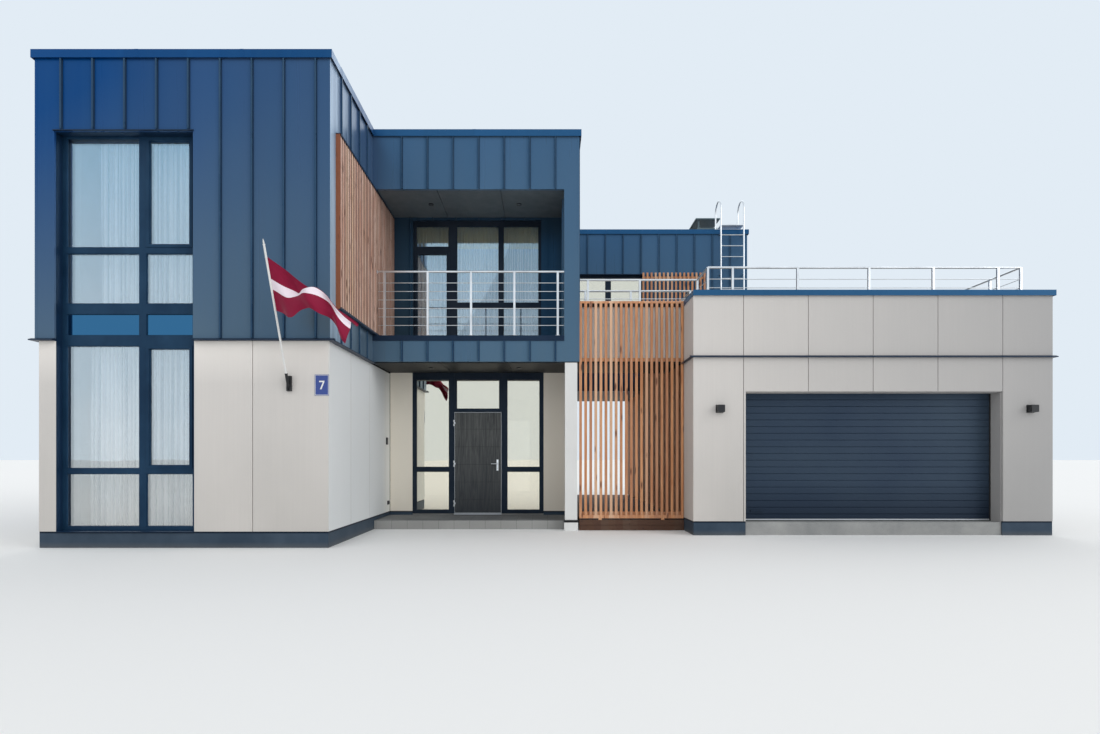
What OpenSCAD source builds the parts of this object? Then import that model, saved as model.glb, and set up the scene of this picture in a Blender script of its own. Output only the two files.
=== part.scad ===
// Detached modern house: a two-storey front block, a middle block with a recessed
// porch and balcony, a slatted passage bridged to a garage with a roof terrace, and
// an upper block over the passage at the rear. Millimetres, +Z up, front towards -Y.
// The origin is at ground level, on the line between the front and the middle block,
// halfway between the front and the rear.

/* [Plan] */
// Width of the two-storey front block
front_block_w = 4480; // [4300:10:5200]
// Width of the middle block with the porch and the balcony
middle_block_w = 3900; // [3700:10:4600]
// Width of the passage between the middle block and the garage
passage_w = 1980; // [1700:10:2400]
// Width of the garage
garage_w = 6360; // [6100:10:7200]
// Depth of the house from the front block's face to the rear
house_d = 10660; // [10200:10:12500]
// Set-back of the balcony's front behind the front block
portal_setback = 2360; // [2200:10:2700]
// Depth of the porch and of the balcony
recess_d = 1430; // [1300:10:1800]
// Set-back of the garage front behind the front block
garage_setback = 1620; // [1500:10:1750]
// Width of the upper block over the passage and the garage
upper_block_w = 4810; // [4700:10:5200]
// Depth of the upper block
upper_block_d = 3030; // [2900:10:3600]

/* [Levels above the ground] */
// Ground floor
floor_z = 200; // [180:5:240]
// Top of the porch step
porch_z = 170; // [120:5:175]
// Top of the plinth
plinth_z = 250; // [245:5:300]
// Ceiling of the ground floor
ceiling_z = 3170; // [3150:5:3240]
// Upper floor, balcony and terrace
upper_floor_z = 3680; // [3620:5:3740]
// Ceiling of the upper floor and of the balcony
upper_ceiling_z = 6440; // [6380:5:6500]
// Thickness of the roof, from its slab's underside to its membrane
roof_t = 530; // [450:5:700]
// Height of the house parapet's coping above the roof
parapet_h = 550; // [450:5:800]
// Top of the garage parapet's coping
garage_parapet_z = 4340; // [4280:5:4400]
// Top of the balcony and terrace rails
rail_z = 4920; // [4780:5:5000]

/* [Walls] */
// Thickness of an outer wall's structure
wall_t = 335; // [250:5:360]
// Thickness of the sheet-metal cladding with its battens
metal_t = 65; // [55:1:80]
// Thickness of a light facade panel with its battens
panel_t = 30; // [20:1:40]
// Open joint between two facade panels
panel_joint = 10; // [6:1:16]
// Width of a facade panel from joint to joint
panel_pitch = 1147; // [1000:1:1250]
// Spacing of the standing seams
seam_pitch = 482; // [400:1:600]
// Distance from a sheet's left edge to its first seam
first_seam = 406; // [300:1:480]
// Height of a standing seam
seam_h = 30; // [20:1:34]
// Width of a standing seam
seam_w = 14; // [8:1:20]
// Thickness of the plinth boards
plinth_t = 25; // [15:1:28]
// Thickness of the timber cladding
timber_t = 70; // [50:1:90]

/* [Flashings] */
// Height of the coping's outer apron
coping_h = 125; // [90:5:160]
// Height of the garage coping's apron
garage_coping_h = 100; // [70:5:130]
// Overhang of a coping beyond the wall
coping_over = 38; // [36:1:50]
// Projection of the drip flashing between the storeys
drip_out = 60; // [45:1:80]
// Height of the drip flashing
drip_h = 38; // [25:1:45]
// Projection of a window sill or head flashing beyond the facade
sill_out = 28; // [15:1:34]
// Height of the flashing along the balcony's edge
edge_h = 100; // [80:1:120]
// Thickness of a garage parapet's structure
parapet_t = 90; // [70:5:120]

/* [Windows] */
// Left edge of the tall front window from the block's left corner
tall_x = 296; // [250:1:400]
// Width of the tall front window
tall_w = 2102; // [1900:1:2300]
// Head of the windows on the upper floor
window_head_z = 6330; // [6200:5:6350]
// Left edge of the balcony window from the recess's left wall
balcony_x = 461; // [400:1:520]
// Width of the balcony window
balcony_w = 2705; // [2500:1:2800]
// Head of the balcony window
balcony_head_z = 6385; // [6340:5:6400]
// Left edge of the upper block's window from the passage's left edge
upper_x = 110; // [90:1:150]
// Width of the upper block's window
upper_w = 1860; // [1700:1:1880]
// Set-back of a window frame behind the cladding
reveal = 160; // [120:5:200]
// Depth of a window frame
frame_d = 80; // [70:1:100]
// Width of an outer frame member
frame_w = 62; // [50:1:80]
// Height of a frame's rail between two storeys of glass
rail_w = 80; // [60:1:100]
// Thickness of a glass unit
glass_t = 28; // [20:1:44]
// Width of a window on the plain sides
plain_window_w = 1300; // [900:10:1600]
// Width of the wide window at the rear
rear_window_w = 2600; // [2200:10:2800]

/* [Entrance] */
// Left edge of the entrance unit from the recess's left wall
entrance_x = 445; // [400:1:500]
// Width of the entrance unit
entrance_w = 2772; // [2700:1:2850]
// Width of the door leaf
door_w = 992; // [900:1:1000]
// Height of the door leaf
door_h = 2130; // [2050:5:2160]
// Thickness of the door leaf
door_t = 70; // [60:1:76]
// Left edge of the door leaf from the entrance unit's edge
door_x = 888; // [860:1:900]
// Gap around the door leaf
door_gap = 6; // [5:0.5:8]
// Height of the door handle above the ground
handle_z = 1246; // [1150:1:1350]

/* [Garage] */
// Width of the garage opening
garage_door_w = 4543; // [4300:1:4600]
// Left edge of the garage opening from the garage's corner
garage_door_x = 925; // [895:1:960]
// Head of the garage opening above the ground
garage_head_z = 2550; // [2400:5:2700]
// Garage floor above the ground
garage_floor_z = 230; // [200:5:240]
// Left edge of the first joint between the garage's panels
garage_joint = 889; // [700:1:1100]
// Set-back of the garage door behind the facade
garage_reveal = 294; // [200:1:300]
// Spacing of the garage door's ribs
rib_pitch = 122; // [90:1:150]

/* [Timber screens] */
// Spacing of the passage screen's slats
slat_pitch = 95; // [80:1:120]
// Width of a slat
slat_w = 50; // [30:1:60]
// Thickness of a slat
slat_t = 32; // [20:1:40]
// Thickness of the rails behind the slats
batten_t = 30; // [20:1:40]
// Height of the rails behind the slats
batten_h = 62; // [50:1:80]

/* [Railings] */
// Width of a railing post
post_w = 40; // [30:1:50]
// Diameter of a railing's top rail
top_rail_d = 42; // [34:1:50]
// Diameter of a railing's thin bars
bar_d = 14; // [10:1:18]
// Number of thin bars under the top rail
bar_count = 6; // [4:1:7]
// Spacing of the thin bars
bar_pitch = 161; // [140:1:168]

/* [Ladder] */
// Distance between the centres of the ladder's stiles
ladder_w = 613; // [500:1:650]
// Spacing of the rungs
rung_pitch = 292; // [250:1:300]
// Height of the ladder's hoops above the ground
hoop_z = 8365; // [8250:5:8500]

/* [Flag] */
// Length of the flag pole
pole_l = 2020; // [1800:10:2200]
// Diameter of the flag pole
pole_d = 30; // [24:1:36]
// Lean of the pole from upright in degrees
pole_lean = 24; // [15:1:35]
// Height of the flag along its pole
flag_h = 750; // [600:10:800]

/* [Hidden] */
$fn = 32;

// Plan lines, from left to right
x_middle = 0;
x_left = x_middle - front_block_w;
x_passage = x_middle + middle_block_w;
x_garage = x_passage + passage_w;
x_right = x_garage + garage_w;
x_upper = x_passage + upper_block_w;

// Plan lines, from front to rear
y_front = -house_d / 2;
y_rear = house_d / 2;
y_portal = y_front + portal_setback;
y_porch = y_portal + recess_d;
y_garage = y_front + garage_setback;
y_upper = y_rear - upper_block_d;

// Depth from a finished face to the inner face of its wall
full_t = metal_t + wall_t;
garage_full_t = panel_t + wall_t;
// Set-back of the light panels behind the sheet metal
panel_recess = metal_t - panel_t;
// Thickness of a soffit board, and the undersides of the slabs over them
soffit_t = 30;
slab_z = ceiling_z + soffit_t;
roof_slab_z = upper_ceiling_z + soffit_t;
roof_z = roof_slab_z + roof_t;
parapet_z = roof_z + parapet_h;
// Top of the walls under the coping's cap
coping_cap = 35;
wall_top_z = parapet_z - coping_cap;
seam_top_z = parapet_z - coping_h - 5;
garage_wall_top_z = garage_parapet_z - coping_cap;
// The sheet metal starts on the drip flashing
drip_z = ceiling_z - 20;
metal_z = drip_z + drip_h;
terrace_slab_z = upper_floor_z - 300;

// A box from its [low, high] pairs along each axis
module block(x, y, z)
    translate([x[0], y[0], z[0]])
        cube([x[1] - x[0], y[1] - y[0], z[1] - z[0]]);

// Places a facade drawn in its own frame: X runs to the right as seen from
// outside, Y runs inwards from the finished face, and Z is the height.
module on_face(face)
    translate([face[0], face[1], 0]) rotate([0, 0, face[2]]) children();

// A facade is [x and y of its left corner seen from outside, turn, length].
face_front = [x_left, y_front, 0, front_block_w];
face_left = [x_left, y_rear, -90, house_d];
face_recess = [x_middle, y_front, 90, portal_setback + recess_d];
face_portal = [x_middle, y_portal, 0, middle_block_w];
face_porch = [x_middle, y_porch, 0, middle_block_w];
face_passage = [x_passage, y_portal, 90, house_d - portal_setback];
face_upper = [x_passage, y_upper, 0, upper_block_w];
face_upper_side = [x_upper, y_upper, 90, upper_block_d];
face_rear = [x_passage, y_rear, 180, front_block_w + middle_block_w];
face_upper_rear = [x_upper, y_rear, 180, upper_block_w];
face_garage = [x_garage, y_garage, 0, garage_w];
face_garage_right = [x_right, y_garage, 90, house_d - garage_setback];
face_garage_rear = [x_right, y_rear, 180, garage_w];
face_garage_left = [x_garage, y_rear, -90, house_d - garage_setback];

// Openings are [left, right, bottom, top] in their facade's frame.
tall_window = [tall_x, tall_x + tall_w, plinth_z, window_head_z];
balcony_opening = [balcony_x, balcony_x + balcony_w, upper_floor_z, balcony_head_z];
upper_opening = [upper_x, upper_x + upper_w, upper_floor_z, window_head_z];
garage_opening = [garage_door_x, garage_door_x + garage_door_w,
    garage_floor_z, garage_head_z];
entrance_opening = [entrance_x, entrance_x + entrance_w, floor_z, ceiling_z];
plain_sill = 900;
plain_head = 2420;
function plain_opening(mid, base, sill) = [mid - plain_window_w / 2,
    mid + plain_window_w / 2, base + sill, base + plain_head];
function plain_pair(mid) = [plain_opening(mid, floor_z, plain_sill),
    plain_opening(mid, upper_floor_z, plain_sill)];
left_middles = [house_d * 0.22, house_d * 0.62];
left_openings = concat(plain_pair(left_middles[0]), plain_pair(left_middles[1]));
rear_middles = [(front_block_w + middle_block_w) * 0.285,
    (front_block_w + middle_block_w) * 0.69];
rear_sill = 60;
rear_wide = [rear_middles[0] - rear_window_w / 2, rear_middles[0] + rear_window_w / 2,
    floor_z + rear_sill, floor_z + plain_head];
rear_openings = concat([rear_wide],
    [plain_opening(rear_middles[0], upper_floor_z, plain_sill)],
    plain_pair(rear_middles[1]));
upper_rear_openings = [plain_opening(upper_block_w / 2, upper_floor_z, plain_sill)];

// Cuts the openings through whatever stands in a facade's frame.
cut_depth = 1200;
module cut_openings(openings)
    for (o = openings)
        block([o[0], o[1]], [-cut_depth, cut_depth], [o[2], o[3]]);

// The structure of a wall, with its openings.
module wall(span, depth, z, openings = [])
    difference() {
        block(span, depth, z);
        cut_openings(openings);
    }

core = [metal_t, full_t];
garage_core = [panel_t, garage_full_t];

module house_foundation()
    color("gray") {
        linear_extrude(floor_z) polygon([
            [x_left + metal_t, y_front + metal_t],
            [x_middle - metal_t, y_front + metal_t],
            [x_middle - metal_t, y_porch + metal_t],
            [x_passage - metal_t, y_porch + metal_t],
            [x_passage - metal_t, y_rear - metal_t],
            [x_left + metal_t, y_rear - metal_t]
        ]);
    }

module garage_foundation()
    color("gray")
        block([x_garage + panel_t, x_right - panel_t],
            [y_garage + panel_t, y_rear - panel_t], [0, garage_floor_z]);

// The porch step runs from the side wall to the passage deck.
step_setback = 236;
porch_front = y_portal + step_setback;
step_clear = 3;
deck_gap = 8;
module porch_step()
    color("silver")
        block([x_middle - panel_recess + step_clear, x_passage - deck_gap],
            [porch_front, y_porch + panel_recess], [0, porch_z]);

// Boards on cross joists that end at the garage's plinth. Two dark boards, one over
// the other, close the front.
deck_board_w = 132;
deck_board_gap = 6;
deck_board_t = 28;
deck_joists = 10;
joist_w = 60;
joist_inset = 5;
fascia_t = 24;
deck_setback = 40;
deck_front = y_portal + deck_setback;
fascia_rows = [[0, floor_z / 2 - deck_board_gap / 2],
    [floor_z / 2 + deck_board_gap / 2, floor_z]];
deck_x = [x_passage, x_garage];
module passage_deck()
    color("saddlebrown") {
        deck_pitch = deck_board_w + deck_board_gap;
        boards = floor((deck_x[1] - deck_x[0]) / deck_pitch);
        first = deck_x[0] + (deck_x[1] - deck_x[0] - boards * deck_pitch) / 2;
        for (i = [0 : boards - 1])
            block([first + i * deck_pitch, first + i * deck_pitch + deck_board_w],
                [deck_front + fascia_t, y_rear], [floor_z - deck_board_t, floor_z]);
        for (i = [0 : deck_joists - 1]) {
            y = deck_front + fascia_t
                + i * (y_rear - joist_w - deck_front - fascia_t) / (deck_joists - 1);
            block([deck_x[0] + joist_inset, x_garage + panel_t - plinth_t],
                [y, y + joist_w], [0, floor_z - deck_board_t]);
        }
        for (row = fascia_rows)
            block(deck_x, [deck_front, deck_front + fascia_t], row);
    }

module front_wall()
    color("lightgray") on_face(face_front)
        wall([metal_t, front_block_w - metal_t], core, [floor_z, wall_top_z],
            [tall_window]);

module left_wall()
    color("lightgray") on_face(face_left)
        wall([full_t, house_d - full_t], core, [floor_z, wall_top_z],
            left_openings);

// The side wall of the recess carries the roof behind the portal.
module recess_side_wall()
    color("lightgray") on_face(face_recess)
        translate([0, full_t, 0]) rotate([90, 0, 0])
            linear_extrude(wall_t) polygon([
                [full_t, floor_z],
                [face_recess[3] + full_t, floor_z],
                [face_recess[3] + full_t, roof_slab_z],
                [portal_setback + full_t, roof_slab_z],
                [portal_setback + full_t, wall_top_z],
                [full_t, wall_top_z]
            ]);

// The two piers beside the entrance unit
module porch_walls()
    color("lightgray") on_face(face_porch) {
        block([-metal_t, entrance_opening[0]], core, [floor_z, slab_z]);
        block([entrance_opening[1], middle_block_w - full_t], core,
            [floor_z, slab_z]);
    }

module balcony_wall()
    color("lightgray") on_face(face_porch)
        wall([-metal_t, middle_block_w - full_t], core,
            [upper_floor_z, roof_slab_z], [balcony_opening]);

// The balcony's right cheek and the beam over its front
cheek_w = 286;
cheek = [middle_block_w - cheek_w + metal_t, middle_block_w - metal_t];
module balcony_portal()
    color("lightgray") on_face(face_portal) {
        block(cheek, [metal_t, recess_d + metal_t], [upper_floor_z, roof_slab_z]);
        block([-metal_t, cheek[1]], core, [roof_slab_z, wall_top_z]);
    }

// The side wall towards the passage: whole height up to the upper block's
// front, ground floor only under the upper block, and a parapet by the balcony
module passage_wall()
    color("lightgray") on_face(face_passage)
        translate([0, full_t, 0]) rotate([90, 0, 0])
            linear_extrude(wall_t) polygon([
                [recess_d + metal_t, floor_z],
                [house_d - portal_setback - full_t, floor_z],
                [house_d - portal_setback - full_t, slab_z],
                [y_upper - y_portal + full_t, slab_z],
                [y_upper - y_portal + full_t, wall_top_z],
                [full_t, wall_top_z],
                [full_t, roof_z],
                [recess_d + metal_t, roof_z]
            ]);

module rear_wall()
    color("lightgray") on_face(face_rear)
        wall([metal_t, face_rear[3] - metal_t], core, [floor_z, wall_top_z],
            rear_openings);

module upper_front_wall()
    color("lightgray") on_face(face_upper)
        wall([-metal_t, upper_block_w - metal_t], core,
            [upper_floor_z, wall_top_z], [upper_opening]);

module upper_end_wall()
    color("lightgray") {
        on_face(face_upper_side)
            block([full_t, upper_block_d - metal_t], core,
                [upper_floor_z, wall_top_z]);
        on_face(face_upper_rear)
            wall([metal_t, upper_block_w + metal_t], core,
                [upper_floor_z, wall_top_z], upper_rear_openings);
    }

// A garage wall carries the terrace, and has a thin parapet along a part of it.
parapet_inner = panel_t + parapet_t;
module garage_wall(span, parapet, openings = [])
    difference() {
        union() {
            block(span, garage_core, [garage_floor_z, terrace_slab_z]);
            block(parapet, [panel_t, parapet_inner],
                [terrace_slab_z, garage_wall_top_z]);
        }
        cut_openings(openings);
    }

module garage_front_wall()
    color("lightgray") on_face(face_garage) {
        span = [panel_t, garage_w - panel_t];
        garage_wall(span, span, [garage_opening]);
    }

// The bridge from the balcony's side to the terrace, between its front and its rear
bridge_y = [y_portal + 90, y_porch + 110];
bridge_front_u = y_rear - bridge_y[0];

// The side wall by the passage has its parapet in front of the bridge only.
module garage_side_walls()
    color("lightgray") {
        on_face(face_garage_right)
            garage_wall([garage_full_t, face_garage_right[3] - garage_full_t],
                [parapet_inner, face_garage_right[3] - parapet_inner]);
        on_face(face_garage_left)
            garage_wall([garage_full_t, face_garage_left[3] - garage_full_t],
                [bridge_front_u, face_garage_left[3] - parapet_inner]);
    }

// Under the upper block, the rear wall ends at the terrace slab.
module garage_rear_wall()
    color("lightgray") on_face(face_garage_rear)
        garage_wall([panel_t, garage_w - panel_t], [panel_t, x_right - x_upper]);

// The outlines of the floor and of the roof, from the front block's front corner
// round to its rear corner. The walls inside the recess stop under the roof.
left_front = [x_left + full_t, y_front + full_t];
recess_front = [x_middle - full_t, y_front + full_t];
left_rear = [x_left + full_t, y_rear - full_t];
passage_edge = [
    [x_passage - metal_t, y_porch + metal_t],
    [x_passage - full_t, y_porch + metal_t]
];
floor_outline = concat(
    [
        left_front, recess_front,
        [x_middle - full_t, y_porch + full_t],
        [x_middle - metal_t, y_porch + full_t],
        [x_middle - metal_t, y_portal + metal_t],
        [x_passage - metal_t, y_portal + metal_t]
    ],
    passage_edge,
    [[x_passage - full_t, y_rear - full_t], left_rear]
);
roof_outline = concat(
    [
        left_front, recess_front,
        [x_middle - full_t, y_portal + full_t],
        [x_passage - metal_t, y_portal + full_t]
    ],
    passage_edge,
    [
        [x_passage - full_t, y_upper + full_t],
        [x_upper - full_t, y_upper + full_t],
        [x_upper - full_t, y_rear - full_t],
        left_rear
    ]
);

module first_floor()
    color("silver") translate([0, 0, slab_z])
        linear_extrude(upper_floor_z - slab_z)
            polygon(floor_outline);

module house_roof()
    color("dimgray") translate([0, 0, roof_slab_z])
        linear_extrude(roof_z - roof_slab_z)
            polygon(roof_outline);

// The terrace lies inside the garage's parapets, and carries the upper block.
module terrace_slab()
    color("darkgray") translate([0, 0, terrace_slab_z])
        linear_extrude(upper_floor_z - terrace_slab_z) polygon([
            [x_garage + parapet_inner, y_garage + parapet_inner],
            [x_right - parapet_inner, y_garage + parapet_inner],
            [x_right - parapet_inner, y_rear - parapet_inner],
            [x_upper, y_rear - parapet_inner],
            [x_upper, y_rear - panel_t],
            [x_garage + panel_t, y_rear - panel_t],
            [x_garage + panel_t, bridge_y[0]],
            [x_garage + parapet_inner, bridge_y[0]]
        ]);

// The upper block's floor over the passage
module upper_block_floor()
    color("silver") translate([0, 0, slab_z])
        linear_extrude(upper_floor_z - slab_z) polygon([
            [x_passage - metal_t, y_upper + metal_t],
            [x_garage + panel_t, y_upper + metal_t],
            [x_garage + panel_t, y_rear - metal_t],
            [x_passage - metal_t, y_rear - metal_t],
            [x_passage - metal_t, y_rear - full_t],
            [x_passage - full_t, y_rear - full_t],
            [x_passage - full_t, y_upper + full_t],
            [x_passage - metal_t, y_upper + full_t]
        ]);

// The bridge with its front parapet
bridge_parapet_t = 120;
module bridge()
    color("gainsboro") {
        block([x_passage - metal_t, x_garage + panel_t], bridge_y,
            [slab_z, upper_floor_z]);
        block([x_passage, x_garage],
            [bridge_y[0], bridge_y[0] + bridge_parapet_t],
            [upper_floor_z, garage_parapet_z - coping_cap]);
    }
bridge_seat = [bridge_y[0] - y_portal, bridge_y[1] - y_portal, ceiling_z, upper_floor_z];

// A sheet-metal facade with standing seams. Seams stop at the openings and at
// the bare areas, such as those behind timber.
module seamed_sheet(span, z, first, openings = [], bare = [])
    difference() {
        union() {
            block(span, [0, metal_t], z);
            for (u = [first : seam_pitch : span[1] - seam_pitch / 3])
                if (u > span[0] + seam_w)
                    difference() {
                        block([u - seam_w / 2, u + seam_w / 2], [-seam_h, 0],
                            [z[0], min(z[1], seam_top_z)]);
                        cut_openings(bare);
                    }
        }
        cut_openings(openings);
    }

portal_opening = [0, middle_block_w - cheek_w, upper_floor_z, upper_ceiling_z];
// The flashing along the balcony's edge
edge_area = [0, middle_block_w - cheek_w, upper_floor_z - edge_h, upper_floor_z];
timber_start = 258;
timber_top_z = upper_ceiling_z - 20;
timber_clear = 30;
timber_area = [timber_start - 1, portal_setback + recess_d,
    upper_floor_z, timber_top_z + timber_clear];
// The slatted panel begins beside the upper window.
slats_l = 1702;
slats_x = [upper_opening[1] - 2, upper_opening[1] - 2 + slats_l];
slats_clear = 40;
slats_top_z = window_head_z + 45;
slats_area = [slats_x[0] - slats_clear, slats_x[1] + slats_clear, upper_floor_z,
    slats_top_z + slats_clear];
// The seams leave room for a flashing over each opening, and for its sill.
head_h = 26;
head_over = 12;
sill_room = 12;
function trim_areas(openings) = [for (o = openings) each [
    [o[0] - head_over, o[1] + head_over, o[3], o[3] + head_h],
    [o[0], o[1], o[2] - sill_room, o[2]]
]];
cheek_face = [x_passage - cheek_w, y_porch, -90, recess_d];
portal_seam = 551;
metal_span = [metal_z, wall_top_z];
recess_span = [upper_floor_z, upper_ceiling_z];
module metal_cladding()
    color("steelblue") {
        on_face(face_front)
            seamed_sheet([0, front_block_w], metal_span, first_seam, [tall_window],
                trim_areas([tall_window]));
        on_face(face_left)
            seamed_sheet([metal_t, house_d - metal_t], metal_span, first_seam,
                left_openings, trim_areas(left_openings));
        on_face(face_recess) {
            seamed_sheet([metal_t, portal_setback + metal_t], metal_span, seam_pitch,
                [], [timber_area]);
            seamed_sheet([portal_setback + metal_t, face_recess[3] + metal_t],
                recess_span, house_d);
        }
        on_face(face_portal)
            seamed_sheet([0, middle_block_w], metal_span, portal_seam,
                [portal_opening], [edge_area]);
        on_face(face_porch)
            seamed_sheet([0, middle_block_w - cheek_w + metal_t], recess_span,
                first_seam, [balcony_opening]);
        on_face(cheek_face)
            seamed_sheet([0, recess_d - metal_t], recess_span, seam_pitch);
        on_face(face_passage)
            seamed_sheet([metal_t, y_upper - y_portal + metal_t], metal_span,
                seam_pitch, [bridge_seat]);
        on_face(face_upper)
            seamed_sheet([0, upper_block_w], [upper_floor_z, wall_top_z], seam_pitch,
                [upper_opening], concat([slats_area], trim_areas([upper_opening])));
        on_face(face_upper)
            block([0, passage_w], [0, metal_t], [ceiling_z, upper_floor_z]);
        on_face(face_upper_side)
            seamed_sheet([metal_t, upper_block_d - metal_t],
                [upper_floor_z, wall_top_z], seam_pitch);
        on_face(face_upper_rear) {
            seamed_sheet([0, upper_block_w], [upper_floor_z, wall_top_z],
                seam_pitch / 2, upper_rear_openings, trim_areas(upper_rear_openings));
            block([upper_block_w - passage_w, upper_block_w], [0, metal_t],
                [ceiling_z, upper_floor_z]);
        }
        on_face(face_rear)
            seamed_sheet([0, face_rear[3]], metal_span, seam_pitch, rear_openings,
                trim_areas(rear_openings));
    }

// Rows of facade panels with open joints between them.
module panels(span, rows, first_joint, depth, openings = [])
    difference() {
        for (row = rows) {
            joints = concat([span[0] - panel_joint / 2],
                [for (u = [first_joint : panel_pitch : span[1] - panel_pitch / 4])
                    if (u > span[0] + panel_pitch / 4) u],
                [span[1] + panel_joint / 2]);
            for (i = [0 : len(joints) - 2])
                block([joints[i] + panel_joint / 2, joints[i + 1] - panel_joint / 2],
                    depth, row);
        }
        cut_openings(openings);
    }

lower_row = [[plinth_z, drip_z]];
porch_row = [[plinth_z, ceiling_z]];
garage_rows = [[plinth_z, drip_z], [metal_z, garage_wall_top_z - 5]];
house_panel = [panel_recess, metal_t];
garage_panel = [0, panel_t];
front_joint_from_corner = 1192;
front_joint = front_block_w - front_joint_from_corner;
lining_t = 4;
garage_lining_t = 12;
// The light boards that line the garage opening, from the facade to the door
module garage_returns() {
    depth = [panel_t, garage_reveal];
    o = garage_opening;
    for (x = [[o[0], o[0] + garage_lining_t], [o[1] - garage_lining_t, o[1]]])
        block(x, depth, [o[2], o[3]]);
    block([o[0], o[1]], depth, [o[3] - garage_lining_t, o[3]]);
}
module facade_panels()
    color("gainsboro") {
        on_face(face_front)
            panels([panel_recess, front_block_w - panel_recess], lower_row,
                front_joint, house_panel, [tall_window]);
        on_face(face_left)
            panels([metal_t, house_d - metal_t], lower_row, panel_pitch,
                house_panel, left_openings);
        on_face(face_recess)
            panels([metal_t, face_recess[3] + panel_recess], lower_row,
                panel_pitch, house_panel);
        on_face(face_porch)
            panels([-panel_recess + panel_joint, middle_block_w - panel_recess],
                porch_row, middle_block_w, house_panel,
                [[entrance_opening[0], entrance_opening[1], 0, slab_z]]);
        on_face(face_passage)
            panels([recess_d + metal_t, face_passage[3] - metal_t], porch_row,
                recess_d + panel_pitch, house_panel);
        on_face(face_rear)
            panels([panel_recess, face_rear[3] - panel_recess], lower_row,
                panel_pitch, house_panel, rear_openings);
        on_face(face_garage) {
            panels([0, garage_w], garage_rows, garage_joint, garage_panel,
                [garage_opening]);
            garage_returns();
        }
        on_face(face_garage_right)
            panels([panel_t, face_garage_right[3] - panel_t], garage_rows,
                panel_pitch, garage_panel);
        on_face(face_garage_rear) {
            free_run = x_right - x_upper;
            panels([0, free_run], garage_rows, panel_pitch, garage_panel);
            panels([free_run + panel_joint, garage_w],
                [[plinth_z, drip_z], [metal_z, upper_floor_z]],
                free_run + panel_pitch, garage_panel);
        }
        on_face(face_garage_left) {
            run = face_garage_left[3];
            panels([panel_t, upper_block_d], porch_row, panel_pitch, garage_panel);
            panels([upper_block_d + panel_joint, y_rear - bridge_y[1]],
                [[plinth_z, upper_floor_z]], upper_block_d + panel_pitch, garage_panel);
            panels([y_rear - bridge_y[1] + panel_joint, bridge_front_u], porch_row,
                run, garage_panel);
            panels([bridge_front_u + panel_joint, run - panel_t], garage_rows, run,
                garage_panel);
        }
    }

// Plinth boards stand on the ground and stop short of each other.
plinth_gap = 2;
module plinth_run(span, inner, bottom = 0)
    block(span, [inner - plinth_t, inner], [bottom, plinth_z]);
module plinth()
    color("darkslategray") {
        corner = metal_t - plinth_t;
        start = metal_t + plinth_gap;
        garage_corner = panel_t - plinth_t;
        garage_start = panel_t + plinth_gap;
        on_face(face_front)
            plinth_run([corner, front_block_w - corner], metal_t);
        on_face(face_left)
            plinth_run([start, house_d - start], metal_t);
        on_face(face_recess)
            plinth_run([start, face_recess[3] + corner], metal_t);
        on_face(face_porch) {
            plinth_run([plinth_gap - corner, entrance_opening[0]], metal_t, porch_z);
            plinth_run([entrance_opening[1], middle_block_w - corner], metal_t,
                porch_z);
        }
        on_face(face_passage)
            plinth_run([recess_d + start, face_passage[3] - start], metal_t);
        on_face(face_rear)
            plinth_run([corner, face_rear[3] - corner], metal_t);
        on_face(face_garage) {
            plinth_run([garage_corner, garage_opening[0]], panel_t);
            plinth_run([garage_opening[1], garage_w - garage_corner], panel_t);
        }
        on_face(face_garage_right)
            plinth_run([garage_start, face_garage_right[3] - garage_start], panel_t);
        on_face(face_garage_rear)
            plinth_run([garage_corner, garage_w - garage_corner], panel_t);
        on_face(face_garage_left)
            plinth_run([garage_start, face_garage_left[3] - garage_start], panel_t);
    }

// A strip of one profile, [depth, height] points, along a facade.
module strip(span, profile)
    translate([span[0], 0, 0]) rotate([90, 0, 90])
        linear_extrude(span[1] - span[0]) polygon(profile);

drip_lip = 14;
function drip_profile(inner) = [
    [inner, drip_z], [-drip_out, drip_z], [-drip_out, drip_z + drip_lip],
    [0, metal_z], [inner, metal_z]
];
// The cap and apron along the balcony's edge, in front of the railing's posts
edge_out = 15;
module balcony_edge()
    block([edge_area[0], edge_area[1]], [-edge_out, 0], [edge_area[2], edge_area[3]]);

// A thin cap along the top of the timber cladding
timber_cap_over = 5;
timber_cap_t = 6;

// Head flashings that slope outwards, over the openings that lie in the sheet metal
module head_flashings(openings)
    for (o = openings)
        if (o[3] > metal_z)
            strip([o[0] - head_over, o[1] + head_over], [
                [0, o[3]], [-sill_out, o[3]], [-sill_out, o[3] + head_h / 2],
                [0, o[3] + head_h]
            ]);

// The passage screen's front, and where the garage's flashings stop beside it
screen_front_y = bridge_y[0] - batten_t - slat_t;
screen_side_u = y_rear - screen_front_y + plinth_gap;

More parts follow.
